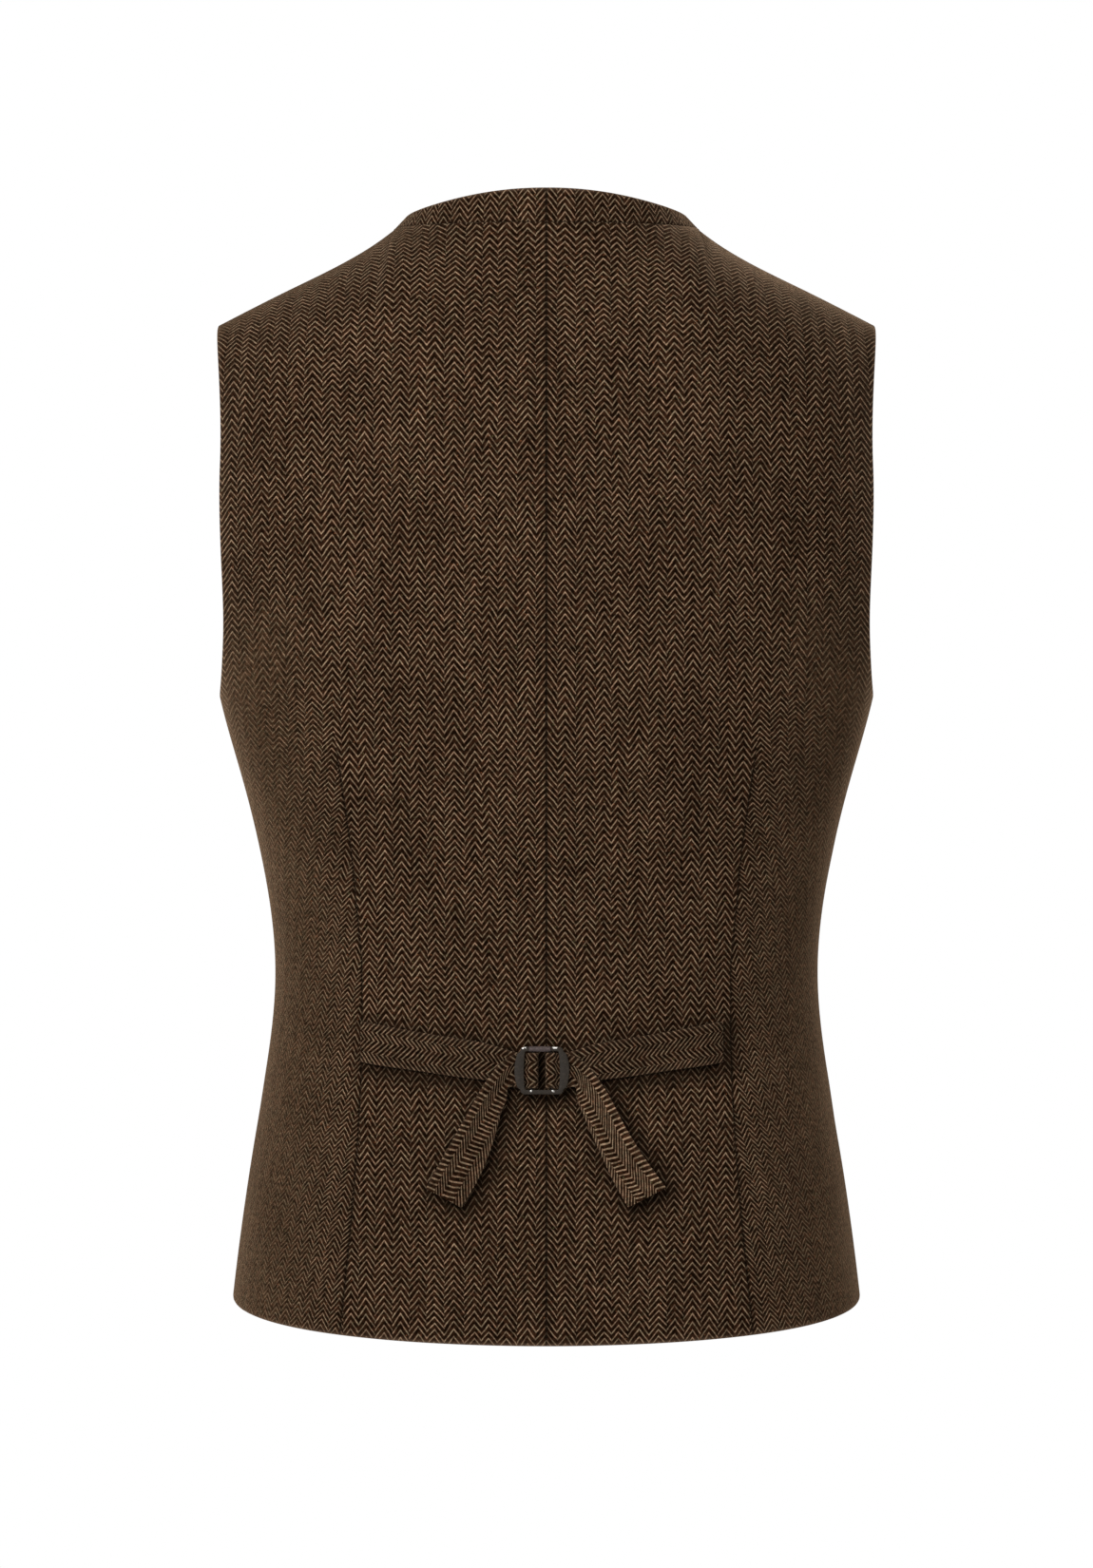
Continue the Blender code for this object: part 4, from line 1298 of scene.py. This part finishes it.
def sewn_button(number, height):
    bm = bmesh.new()
    bm.from_mesh(HORN)
    thread_start = len(bm.faces)
    bm.from_mesh(STITCHES)
    bm.faces.ensure_lookup_table()
    for face in bm.faces[thread_start:]:
        face.material_index = 1
    depth = spline(FORM, height)[0, 2]
    turn = UPRIGHT @ Matrix.Rotation(BUTTON_TURN * number, 4, "Z")
    bm.transform(Matrix.Translation((0, -depth - BUTTON_CLEAR, height)) @ turn)
    button = as_object(f"horn_button_{number}", bm)
    button.data.shade_smooth()
    button.data.set_sharp_from_angle(angle=math.radians(BUTTON_CREASE))
    return button


BUTTONS = [sewn_button(number, height) for number, height in enumerate(BUTTON_HEIGHTS, 1)]
print("buttons", len(BUTTONS), "with", len(BUTTONS[0].data.polygons), "faces each")

# %% [markdown]
# ## Buttonholes
#
# Each buttonhole is a slit in the left front, worked all round with close stitches of thread. The
# button sits at its outer end and hides half of it. Every stitch is one small stretched sphere
# across the slit's edge, which is cheap and catches the light as real thread does.

# %% Worked buttonholes
SLIT_HALF = 0.0095
SLIT_CENTRE = 0.0085
SLIT_WIDTH = 0.0006
STITCH = (0.00026, 0.00095, 0.00032)  # half sizes: along the slit, across it, outwards
STITCH_PITCH = 0.00056
END_STITCHES = 7  # stitches in the fan round each end
END_FAN = 70  # half angle of that fan, in degrees


def front_surface(across, height):
    half_width, _, depth = spline(FORM, height)[0]
    power = SQUARENESS["front"]
    return Vector((across, -depth * (1 - (abs(across) / half_width) ** power) ** (1 / power), height))


def buttonhole(number, height):
    bm = bmesh.new()
    places = []
    reach = SLIT_WIDTH / 2 + STITCH[1]
    for side in (1, -1):
        for step in np.arange(-SLIT_HALF, SLIT_HALF, STITCH_PITCH):
            places.append((step, side * reach, 0.0))
    for end in (1, -1):
        for angle in np.linspace(-END_FAN, END_FAN, END_STITCHES):
            turn = math.radians(angle)
            along = end * (SLIT_HALF + reach * math.cos(turn))
            places.append((along, reach * math.sin(turn), end * (angle - 90)))
    for along, up, turn in places:
        point = front_surface(SLIT_CENTRE + along, height + up)
        spin = UPRIGHT @ Matrix.Rotation(math.radians(turn), 4, "Z")
        place = Matrix.Translation(point) @ spin @ Matrix.Diagonal((*STITCH, 1))
        bmesh.ops.create_uvsphere(bm, u_segments=6, v_segments=5, radius=1, matrix=place)
    obj = as_object(f"buttonhole_{number}", bm)
    obj.data.shade_smooth()
    return obj


HOLES = [buttonhole(number, height) for number, height in enumerate(BUTTON_HEIGHTS, 1)]
print("buttonholes", len(HOLES), "with", len(HOLES[0].data.polygons), "faces each")

# %% [markdown]
# ## Node helpers
#
# A material is a small program drawn as nodes. Writing one in Python is shorter with a few
# helpers: one adds a node and fills its sockets, others do arithmetic, remap a value, blend two
# colours or make noise, and two more start a shared group and place it in a material. A socket
# is given a number, a colour or the output of another node.

# %% Helpers for nodes
def plug(tree, socket, value):
    if isinstance(value, bpy.types.NodeSocket):
        tree.links.new(value, socket)
    else:
        socket.default_value = value


def add(tree, kind, inputs=None, **settings):
    """A shader node of that kind, with its settings and its inputs filled."""
    node = tree.nodes.new("ShaderNode" + kind)
    for name, value in settings.items():
        setattr(node, name, value)
    for key, value in (inputs or {}).items():
        plug(tree, node.inputs[key], value)
    return node


def calc(tree, operation, *values):
    return add(tree, "Math", dict(enumerate(values)), operation=operation).outputs[0]


def times(tree, first, second):
    return calc(tree, "MULTIPLY", first, second)


def ramp(tree, value, low, high, to_low=0.0, to_high=1.0, smooth=True):
    kind = "SMOOTHSTEP" if smooth else "LINEAR"
    inputs = {"Value": value, "From Min": low, "From Max": high, "To Min": to_low, "To Max": to_high}
    return add(tree, "MapRange", inputs, interpolation_type=kind).outputs["Result"]


def blend(tree, share, first, second, blend_type="MIX"):
    node = add(tree, "Mix", data_type="RGBA", blend_type=blend_type)
    plug(tree, node.inputs[0], share)
    plug(tree, node.inputs[6], first)
    plug(tree, node.inputs[7], second)
    return node.outputs[2]


def noise(tree, place, size, detail=2.0, roughness=0.5, output="Fac"):
    """Soft noise whose blobs are about size metres across."""
    inputs = {"Vector": place, "Scale": 1 / size, "Detail": detail, "Roughness": roughness}
    return add(tree, "TexNoise", inputs).outputs[output]


def mask(tree, name):
    return add(tree, "Attribute", attribute_name=name).outputs["Fac"]


def cut_place(tree):
    return add(tree, "UVMap", uv_map="cut").outputs[0]


def object_place(tree):
    return add(tree, "TexCoord").outputs["Object"]


def roughen(tree, shader, strength, distance, height):
    """A bump of that height, in metres, on the shader's normal."""
    bump = add(tree, "Bump", {"Strength": strength, "Distance": distance, "Height": height})
    plug(tree, shader.inputs["Normal"], bump.outputs[0])


# %% Helpers for groups and materials
def new_group(name, inputs, outputs):
    """A shared node group; inputs and outputs are (label, kind, default)."""
    tree = bpy.data.node_groups.new(name, "ShaderNodeTree")
    for label, kind, default in inputs:
        socket = tree.interface.new_socket(name=label, in_out="INPUT", socket_type="NodeSocket" + kind)
        if default is not None:
            socket.default_value = default
    for label, kind in outputs:
        tree.interface.new_socket(name=label, in_out="OUTPUT", socket_type="NodeSocket" + kind)
    entry = tree.nodes.new("NodeGroupInput").outputs
    finish = tree.nodes.new("NodeGroupOutput").inputs
    return tree, entry, finish


def use_group(tree, group, inputs):
    node = add(tree, "Group")
    node.node_tree = group
    for key, value in inputs.items():
        plug(tree, node.inputs[key], value)
    return node.outputs


def new_material(name, **settings):
    made = bpy.data.materials.new(name)
    made.use_nodes = True
    shader = made.node_tree.nodes["Principled BSDF"]
    for label, value in settings.items():
        shader.inputs[label.replace("_", " ")].default_value = value
    return made, made.node_tree, shader


# %% [markdown]
# ## Herringbone as a node group
#
# Herringbone is a twill whose slant turns back at every column, which makes a zigzag. Lines repeat
# up the cloth at one pitch. A pingpong would give a zigzag with equal columns, but here the columns
# are uneven and the slant is the same in all. The distance to the nearest point of a
# one-dimensional Voronoi does that: it falls and rises at one slope between uneven turns. Each
# pair of columns is shifted along the cloth by its own amount, a slow noise bends the lines a
# little, and white noise gives every line its own shade, because woollen yarn is uneven. The
# group reads the UV map "cut", so the pattern follows each piece as it was cut, and a turn lies
# on the centre back seam.

# %% Group: herringbone
BEND_SIZE = 0.011  # size of the waves in which the slow noise bends the lines
HERRINGBONE, given, result = new_group(
    "herringbone",
    [
        ("Cut", "Vector", None),
        ("Column", "Float", 0.005),
        ("Pitch", "Float", 0.0041),
        ("Slope", "Float", 1.4),
        ("Line share", "Float", 0.2),
        ("Unevenness", "Float", 0.28),
        ("Wobble", "Float", 0.0016),
        ("Shift", "Float", 3.6),
    ],
    [("Lines", "Float"), ("Height", "Float"), ("Yarn shade", "Float"), ("Stripe", "Float")],
)
tree = HERRINGBONE
slow = noise(tree, given["Cut"], BEND_SIZE, output="Color")
pull = add(tree, "VectorMath", {0: slow, 1: (0.5, 0.5, 0.5)}, operation="SUBTRACT").outputs[0]
bent = add(tree, "VectorMath", {0: pull, "Scale": given["Wobble"]}, operation="SCALE").outputs[0]
moved = add(tree, "VectorMath", {0: given["Cut"], 1: bent}, operation="ADD").outputs[0]
flat = add(tree, "SeparateXYZ", {0: moved}).outputs
repeat = times(tree, given["Column"], 2.0)
columns = add(
    tree, "TexVoronoi",
    {"W": flat["X"], "Scale": calc(tree, "DIVIDE", 1.0, repeat), "Randomness": given["Unevenness"]},
    voronoi_dimensions="1D",
).outputs
from_turn = times(tree, columns["Distance"], repeat)
from_seam = calc(tree, "ABSOLUTE", flat["X"])
at_seam = calc(tree, "LESS_THAN", columns["W"], given["Column"])
from_turn = add(tree, "Mix", {0: at_seam, 2: from_turn, 3: from_seam}).outputs[0]
climb = times(tree, from_turn, given["Slope"])
which_column = times(tree, columns["W"], calc(tree, "SUBTRACT", 1.0, at_seam))
plain_number = calc(tree, "DIVIDE", calc(tree, "ADD", flat["Y"], climb), given["Pitch"])
print("columns and slant", len(tree.nodes), "nodes")

# %% Herringbone: the shifted lines and their shades
SHIFT_CHANGES = (60, 12, 0)  # how fast the shift changes from column to column, and up the cloth
LINE_FADE = (0.08, 0.10)  # how far a line's edge fades inwards and outwards, in pitches
OWN_SHADE = 0.35  # how much of a line's shade it keeps all along
KNOT_SHADE = 0.65  # and how much comes and goes with the thicker places of the yarn
KNOT_SIZE = 0.0026
GROUND_RELIEF = 0.6  # height of the dark yarns, where the pale ones have 1
STRIPE_CHANGES = (280, 8, 0)  # a warp stripe is narrow across the cloth and long up it
STRIPE_START = (5.3, 0, 0)

along_column = add(tree, "CombineXYZ", {0: which_column, 1: flat["Y"]}).outputs[0]
stretched = add(tree, "VectorMath", {0: along_column, 1: SHIFT_CHANGES}, operation="MULTIPLY").outputs[0]
shift = add(tree, "TexNoise", {"Vector": stretched, "Scale": 1.0, "Detail": 1.0}).outputs["Fac"]
line_number = calc(tree, "ADD", plain_number, times(tree, shift, given["Shift"]))
from_line = calc(tree, "PINGPONG", line_number, 0.5)
half_share = times(tree, given["Line share"], 0.5)
inner = calc(tree, "SUBTRACT", half_share, LINE_FADE[0])
outer = calc(tree, "ADD", half_share, LINE_FADE[1])
lines = ramp(tree, from_line, inner, outer, 1.0, 0.0)
which_line = calc(tree, "FLOOR", calc(tree, "ADD", line_number, 0.5))
cell = add(tree, "CombineXYZ", {0: which_line, 1: which_column}).outputs[0]
own = add(tree, "TexWhiteNoise", {"Vector": cell}).outputs["Value"]
knots = ramp(tree, noise(tree, given["Cut"], KNOT_SIZE), 0.3, 0.7, 0.0, KNOT_SHADE)
shade = calc(tree, "ADD", times(tree, own, OWN_SHADE), knots)
dark_yarns = calc(tree, "ABSOLUTE", calc(tree, "SINE", times(tree, line_number, math.tau)))
height = calc(tree, "MAXIMUM", lines, times(tree, dark_yarns, GROUND_RELIEF))
plug(tree, result["Lines"], lines)
plug(tree, result["Height"], height)
plug(tree, result["Yarn shade"], shade)
long_cloth = add(
    tree, "VectorMath", {0: given["Cut"], 1: STRIPE_CHANGES, 2: STRIPE_START}, operation="MULTIPLY_ADD",
).outputs[0]
plug(tree, result["Stripe"], add(tree, "TexNoise", {"Vector": long_cloth, "Scale": 1.0}).outputs["Fac"])
print("herringbone group", len(tree.nodes), "nodes")

# %% [markdown]
# ## Wool as a node group
#
# Wool yarn is a blend: its colour drifts slowly over the cloth, mottles within a few millimetres
# and carries single flecks of dyed fibre. Loose fibres lie over the weave and blur it a little.
# Noise at four sizes makes these, and Voronoi cells give the flecks, since each cell has one
# random number that picks which few are coloured.

# %% Group: wool
WOOL_NOISES = (
    # output, size in metres, detail, roughness
    ("Drift", 0.05, 3.0, 0.5),
    ("Mottle", 0.0022, 3.0, 0.5),
    ("Fuzz", 0.0009, 3.0, 0.75),
    ("Tint", 0.0028, 2.0, 0.6),
)
FLECK_CELL = 0.0013  # one fleck at most in each cell of this size
WOOL, given, result = new_group(
    "wool",
    [("Place", "Vector", None), ("Fleck share", "Float", 0.04)],
    [
        ("Drift", "Float"), ("Mottle", "Float"), ("Fuzz", "Float"), ("Tint", "Float"),
        ("Fleck", "Float"), ("Fleck hue", "Float"),
    ],
)
tree = WOOL
for label, *character in WOOL_NOISES:
    plug(tree, result[label], noise(tree, given["Place"], *character))
cells = add(tree, "TexVoronoi", {"Vector": given["Place"], "Scale": 1 / FLECK_CELL}).outputs
pick = add(tree, "SeparateColor", {0: cells["Color"]}).outputs
chosen = calc(tree, "LESS_THAN", pick[0], given["Fleck share"])
blob = ramp(tree, cells["Distance"], 0.15, 0.5, 1.0, 0.0)
plug(tree, result["Fleck"], times(tree, chosen, blob))
plug(tree, result["Fleck hue"], pick[1])
print("wool group", len(tree.nodes), "nodes")

# %% [markdown]
# ## Tweed
#
# The body and the straps are the same cloth, so one function makes both materials. Dark brown
# ground yarn and pale tan line yarn are mixed by the herringbone mask. Where the nap is rubbed up
# and a painted sheen lies on it, they cover the weave. Seam ditches get darker with dirt and
# shade, a painted shadow darkens the back beside the straps, folds are paler, partly worn and
# partly with a painted highlight, and the tails carry painted light. Sheen is a constant on the
# shader: it is the soft light that the nap catches at grazing angles. The yarns' height feeds a
# bump, because a real yarn relief of a quarter millimetre over the whole garment would be
# millions of faces.

# %% The wool's colours
GROUND_DARK = (0.0062, 0.0026, 0.0012, 1)
GROUND_WARM = (0.0255, 0.0109, 0.0053, 1)
LINE_DIM = (0.082, 0.0545, 0.0340, 1)
LINE_PALE = (0.300, 0.207, 0.135, 1)
NAP_SHEEN_DEEP = (0.0255, 0.0143, 0.0076, 1)
NAP_SHEEN_PALE = (0.0725, 0.0426, 0.0237, 1)
RED_WOOL = (1.08, 0.98, 0.94, 1)
GREEN_WOOL = (0.95, 1.02, 0.98, 1)
FLECK_RUST = (0.17, 0.062, 0.026, 1)
FLECK_OLIVE = (0.085, 0.075, 0.030, 1)
# shade painted into the seam ditches along with their dirt, and the painted shadow beside the straps
SEAM_SHADE = (0.006, 0.0035, 0.002, 1)
# paler colour of the folds: partly wear, partly a painted highlight
FOLD_WEAR_AND_HIGHLIGHT = (0.165, 0.105, 0.07, 1)
print("wool from", GROUND_DARK[:3], "to", LINE_PALE[:3])

# %% Tweed materials
NAP_AND_SHEEN_COVER = 0.66  # how much of the weave the raised nap and painted sheen hide
FLECK_SHOWS = 0.45
FUZZ_RANGE = (0.48, 1.52)  # each range is a dark and a light factor on the colour
DRIFT_RANGE = (0.90, 1.10)
STRIPE_RANGE = (0.84, 1.16)
# how much lighter the painted light makes the tails
TAIL_LIGHT_RANGE = (1.0, 1.58)
DITCH_DARKENS = 0.75
# how dark the painted shadow beside the straps is
STRAP_SHADOW_DARKENS = 0.68
YARN_RELIEF = 0.00028
FLATTER_FROM = (0.12, 0.24)  # the zigzag lies flatter towards the shoulders, from here to here


def tweed(name, column, pitch, slope, slope_at_top, line_share, lighter, fold_wear_and_highlight):
    made, tree, shader = new_material(
        name, Roughness=0.95, Sheen_Weight=0.20, Sheen_Roughness=0.35, Sheen_Tint=(0.80, 0.55, 0.36, 1),
        Specular_IOR_Level=0.0,
    )
    cut = cut_place(tree)
    up_the_cloth = add(tree, "SeparateXYZ", {0: cut}).outputs["Y"]
    slope_here = ramp(tree, up_the_cloth, *FLATTER_FROM, slope, slope_at_top)
    weave = use_group(tree, HERRINGBONE, {
        "Cut": cut, "Column": column, "Pitch": pitch, "Slope": slope_here, "Line share": line_share,
    })
    wool = use_group(tree, WOOL, {"Place": object_place(tree)})
    nap_and_sheen = mask(tree, "nap_and_sheen")
    ground = blend(tree, ramp(tree, wool["Mottle"], 0.35, 0.7), GROUND_DARK, GROUND_WARM)
    pale = blend(tree, weave["Yarn shade"], LINE_DIM, LINE_PALE)
    worn = ramp(tree, wool["Mottle"], 0.25, 0.55, 0.5, 1.0)
    cloth = blend(tree, times(tree, weave["Lines"], worn), ground, pale)
    # raised nap with a painted sheen over the weave on the sides and shoulders
    nap = blend(tree, ramp(tree, wool["Mottle"], 0.32, 0.68), NAP_SHEEN_DEEP, NAP_SHEEN_PALE)
    cloth = blend(tree, times(tree, nap_and_sheen, NAP_AND_SHEEN_COVER), cloth, nap)
    fleck = blend(tree, calc(tree, "GREATER_THAN", wool["Fleck hue"], 0.5), FLECK_RUST, FLECK_OLIVE)
    cloth = blend(tree, times(tree, wool["Fleck"], FLECK_SHOWS), cloth, fleck)
    tint = blend(tree, ramp(tree, wool["Tint"], 0.35, 0.65), RED_WOOL, GREEN_WOOL)
    cloth = blend(tree, 1.0, cloth, tint, "MULTIPLY")
    fuzz = ramp(tree, wool["Fuzz"], 0.28, 0.72, *(lighter * end for end in FUZZ_RANGE), smooth=False)
    drift = ramp(tree, wool["Drift"], 0.3, 0.7, *DRIFT_RANGE)
    stripe = ramp(tree, weave["Stripe"], 0.3, 0.7, *STRIPE_RANGE, smooth=False)
    plain = add(tree, "Mix", {0: nap_and_sheen, 2: stripe, 3: 1.0}).outputs[0]
    light = times(tree, times(tree, fuzz, drift), plain)
    # the tails' painted light
    light = times(tree, light, ramp(tree, mask(tree, "tail_light"), 0, 1, *TAIL_LIGHT_RANGE))
    grey = add(tree, "CombineColor", {0: light, 1: light, 2: light}).outputs[0]
    cloth = blend(tree, 1.0, cloth, grey, "MULTIPLY")
    # seam ditches darken with dirt and painted shade, "pressed" with a painted shadow beside the straps,
    # and folds turn paler, partly with wear and partly with a painted highlight
    for painted, strength, shade in (
        ("seam", DITCH_DARKENS, SEAM_SHADE),
        ("pressed", STRAP_SHADOW_DARKENS, SEAM_SHADE),
        ("fold", fold_wear_and_highlight, FOLD_WEAR_AND_HIGHLIGHT),
    ):
        cloth = blend(tree, times(tree, mask(tree, painted), strength), cloth, shade)
    plug(tree, shader.inputs["Base Color"], cloth)
    relief = calc(tree, "ADD", weave["Height"], times(tree, wool["Fuzz"], 0.7))
    roughen(tree, shader, 0.9, YARN_RELIEF, relief)
    return made


TWEED = tweed(
    "tweed_body", column=0.0050, pitch=0.0041, slope=1.31, slope_at_top=1.12,
    line_share=0.22, lighter=1.04, fold_wear_and_highlight=0.45,
)
STRAP_TWEED = tweed(
    "tweed_straps", column=0.0062, pitch=0.0029, slope=0.95, slope_at_top=0.95,
    line_share=0.28, lighter=0.78, fold_wear_and_highlight=0.08,
)
print("tweeds", TWEED.name, STRAP_TWEED.name)

# %% [markdown]
# ## Lining, horn, thread and metal
#
# The reverse of the panels is a plain dark twill lining. Buttons are horn, with slow streaks.
# Thread has a fine twist. The buckle is black-finished steel, and its finish is worn through to
# bright metal where the wear mask says so. One group of fine scuffs serves horn and metal.

# %% Group: scuffs
SCUFFS, given, result = new_group(
    "scuffs",
    [("Place", "Vector", None), ("Size", "Float", 0.001)],
    [("Scuff", "Float"), ("Grain", "Float")],
)
tree = SCUFFS
inverse = calc(tree, "DIVIDE", 1.0, given["Size"])
sized = add(tree, "VectorMath", {0: given["Place"], "Scale": inverse}, operation="SCALE").outputs[0]
broad = add(tree, "TexNoise", {"Vector": sized, "Scale": 1.0, "Detail": 4.0}).outputs["Fac"]
fine = add(tree, "TexNoise", {"Vector": sized, "Scale": 5.0, "Detail": 2.0}).outputs["Fac"]
plug(tree, result["Scuff"], ramp(tree, broad, 0.45, 0.75))
plug(tree, result["Grain"], fine)
print("scuffs group", len(tree.nodes), "nodes")

# %% Lining
LINING_PITCH = 0.0011
LINING_DEEP = (0.012, 0.008, 0.006, 1)
LINING_SOFT = (0.022, 0.015, 0.011, 1)
LINING_TWILL = (0.034, 0.023, 0.017, 1)


def lining():
    made, tree, shader = new_material(
        "lining_twill", Roughness=0.55, Sheen_Weight=0.15, Sheen_Roughness=0.4, Specular_IOR_Level=0.35,
    )
    flat = add(tree, "SeparateXYZ", {0: cut_place(tree)}).outputs
    slant = calc(tree, "DIVIDE", calc(tree, "ADD", flat["X"], flat["Y"]), LINING_PITCH)
    twill = calc(tree, "PINGPONG", slant, 0.5)
    dark = blend(tree, noise(tree, object_place(tree), 0.03), LINING_DEEP, LINING_SOFT)
    cloth = blend(tree, times(tree, twill, 1.2), dark, LINING_TWILL)
    plug(tree, shader.inputs["Base Color"], cloth)
    roughen(tree, shader, 0.5, 0.0001, twill)
    return made


LINING = lining()
print("lining", LINING.name)

# %% Horn and thread
HORN_DARK = (0.016, 0.009, 0.005, 1)
HORN_STREAK = (0.090, 0.048, 0.024, 1)
THREAD_DARK = (0.016, 0.010, 0.006, 1)
THREAD_PALE = (0.060, 0.038, 0.024, 1)


def horn():
    made, tree, shader = new_material("button_horn", Specular_IOR_Level=0.3)
    place = object_place(tree)
    drawn = add(tree, "Mapping", {"Vector": place, "Scale": (1.0, 1.0, 0.22)}).outputs[0]
    streak = noise(tree, drawn, 0.0022, 4.0, 0.6)
    scuff = use_group(tree, SCUFFS, {"Place": place, "Size": 0.0012})
    body = blend(tree, ramp(tree, streak, 0.35, 0.65), HORN_DARK, HORN_STREAK)
    plug(tree, shader.inputs["Base Color"], body)
    plug(tree, shader.inputs["Roughness"], ramp(tree, scuff["Scuff"], 0, 1, 0.30, 0.52))
    roughen(tree, shader, 0.25, 0.00005, scuff["Grain"])
    return made


def thread():
    made, tree, shader = new_material("button_thread", Roughness=0.85, Specular_IOR_Level=0.1)
    fibre = noise(tree, object_place(tree), 0.0003)
    plug(tree, shader.inputs["Base Color"], blend(tree, fibre, THREAD_DARK, THREAD_PALE))
    roughen(tree, shader, 0.6, 0.00008, fibre)
    return made


HORN_LOOK = horn()
THREAD = thread()
print("horn and thread", HORN_LOOK.name, THREAD.name)

# %% Black-finished steel
SCUFFED_LIGHTER = 1.6  # how much paler the finish is where it is scuffed


def gunmetal(name, dull, bright, rough):
    made, tree, shader = new_material(name, Specular_IOR_Level=0.15)
    scuff = use_group(tree, SCUFFS, {"Place": object_place(tree), "Size": 0.0014})
    uneven = calc(tree, "ADD", 0.75, times(tree, scuff["Grain"], 0.5))
    bare = ramp(tree, times(tree, mask(tree, "wear"), uneven), 0.35, 0.75)
    black = blend(tree, scuff["Scuff"], dull, (*(c * SCUFFED_LIGHTER for c in dull[:3]), 1))
    plug(tree, shader.inputs["Base Color"], blend(tree, bare, black, bright))
    smoother = calc(tree, "SUBTRACT", rough, times(tree, bare, 0.2))
    plug(tree, shader.inputs["Roughness"], smoother)
    plug(tree, shader.inputs["Metallic"], bare)
    roughen(tree, shader, 0.3, 0.00006, scuff["Grain"])
    return made


FRAME_METAL = gunmetal("buckle_black", (0.021, 0.0162, 0.0120, 1), (0.70, 0.68, 0.64, 1), 0.60)
ROLLER_METAL = gunmetal("roller_grey", (0.060, 0.045, 0.043, 1), (0.75, 0.73, 0.72, 1), 0.50)
print("materials", [m.name for m in bpy.data.materials])

# %% [markdown]
# ## Dressing the pieces
#
# Every new piece gets its materials and rides with the garment's one body. Where a plain CAD
# solid held its place, it replaces that solid. The flat size each sheet of cloth was cut to is
# measured along the lines of its grid and printed.

# %% Materials and bodies
def dress(obj, slot, looks, *nodes):
    for look in looks:
        obj.data.materials.append(look)
    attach(obj, "root")
    if nodes:
        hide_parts(*nodes)


def area_of(grid):
    across = np.linalg.norm(np.diff(grid, axis=1), axis=-1)
    along = np.linalg.norm(np.diff(grid, axis=0), axis=-1)
    width = (across[1:] + across[:-1]) / 2
    length = (along[:, 1:] + along[:, :-1]) / 2
    return float((width * length).sum())


def declare(obj, grid):
    width = float(run_along(grid, 1)[:, -1].max())
    length = float(run_along(grid, 0)[-1].max())
    area = round(area_of(grid), 4)
    print(obj.name, "flat", round(width, 3), "x", round(length, 3), "area", area)


for node, piece in PANELS.items():
    dress(piece, "tweed", [TWEED, LINING], node)
for side in ("left", "right"):
    declare(PANELS[f"back_{side}"], BACK)
    declare(PANELS[f"front_{side}"], FRONTS[side])
    declare(PANELS[f"neck_band_{side}"], BAND)
    strap, strap_points = STRAPS[side]
    dress(strap, "strap_tweed", [STRAP_TWEED], f"strap_{side}")
    declare(strap, strap_points)
dress(BUCKLE, "gunmetal", [FRAME_METAL], "buckle_frame")
dress(ROLLER, "gunmetal", [ROLLER_METAL])
for number, button in enumerate(BUTTONS, 1):
    dress(button, "button", [HORN_LOOK, THREAD], f"button_{number}")
for hole in HOLES:
    dress(hole, "tweed", [THREAD])
print("dressed", len(PANELS), "panels,", len(STRAPS), "straps, the buckle and its roller")
print("and", len(BUTTONS), "buttons with", len(HOLES), "buttonholes")

# %% [markdown]
# ## Camera, light and floor
#
# The waistcoat is looked at from straight behind with a long lens, which keeps its proportions.
# A soft light stands on the left of that view, and a weaker one high on the right, so the folds
# have a lit and a shaded side. Two broad lights stand before the front. From behind they light
# only the nap along the outline, and they serve the other views too. The white surroundings fill
# the rest. The view transform is Standard, because Filmic would grey the white background.

# %% Floor and surroundings
FLOOR_HEIGHT = -1.3
FLOOR_RADIUS = 1.7
FLOOR_GREY = (0.86, 0.86, 0.85, 1)
FLOOR_WHITE = (0.90, 0.90, 0.89, 1)
SURROUNDINGS = 0.37  # how brightly the white surroundings light the garment


def plain_floor():
    bm = bmesh.new()
    place = Matrix.Translation((0, 0, FLOOR_HEIGHT))
    bmesh.ops.create_circle(bm, cap_ends=True, segments=96, radius=FLOOR_RADIUS, matrix=place)
    floor = as_object("floor", bm)
    look, tree, shader = new_material("floor_paper", Roughness=0.9)
    shade = blend(tree, noise(tree, object_place(tree), 0.4), FLOOR_GREY, FLOOR_WHITE)
    plug(tree, shader.inputs["Base Color"], shade)
    floor.data.materials.append(look)


def white_world():
    world = bpy.data.worlds.new("white")
    world.use_nodes = True
    tree = world.node_tree
    seen = add(tree, "LightPath").outputs["Is Camera Ray"]
    background = tree.nodes["Background"]
    background.inputs["Color"].default_value = (1, 1, 1, 1)
    plug(tree, background.inputs["Strength"], ramp(tree, seen, 0, 1, SURROUNDINGS, 1.0))
    bpy.context.scene.world = world


plain_floor()
white_world()
print("floor", FLOOR_HEIGHT, "surroundings", SURROUNDINGS)

# %% Lights and camera
MIDDLE = Vector((0, 0, -0.33))  # of the garment
CAMERA_PLACE = (0.0, 2.175, -0.3344)
LIGHTS = (
    # name, place, diameter, power in watts
    ("key", (0.72, 1.42, 0.38), 0.75, 24.5),
    ("fill", (-1.0, 1.2, 1.6), 1.2, 10.5),
    ("front right", (-1.3, -1.8, 0.5), 1.4, 65),
    ("front left", (1.5, -1.5, -0.6), 1.4, 38),
)


def studio_light(name, place, size, power):
    lamp = bpy.data.lights.new(name, "AREA")
    lamp.shape = "DISK"
    lamp.size = size
    lamp.energy = power
    obj = new_object(name, lamp)
    obj.location = place
    obj.rotation_euler = (MIDDLE - Vector(place)).to_track_quat("-Z", "Y").to_euler()


def studio_camera():
    lens = bpy.data.cameras.new("camera")
    lens.lens = 85
    lens.sensor_width = 36
    camera = new_object("camera", lens)
    camera.location = CAMERA_PLACE
    camera.rotation_euler = (math.radians(90), 0, math.radians(180))
    return camera


for light in LIGHTS:
    studio_light(*light)
bpy.context.scene.camera = studio_camera()
bpy.context.scene.view_settings.view_transform = "Standard"
print("lights", len(LIGHTS), "camera at", CAMERA_PLACE)
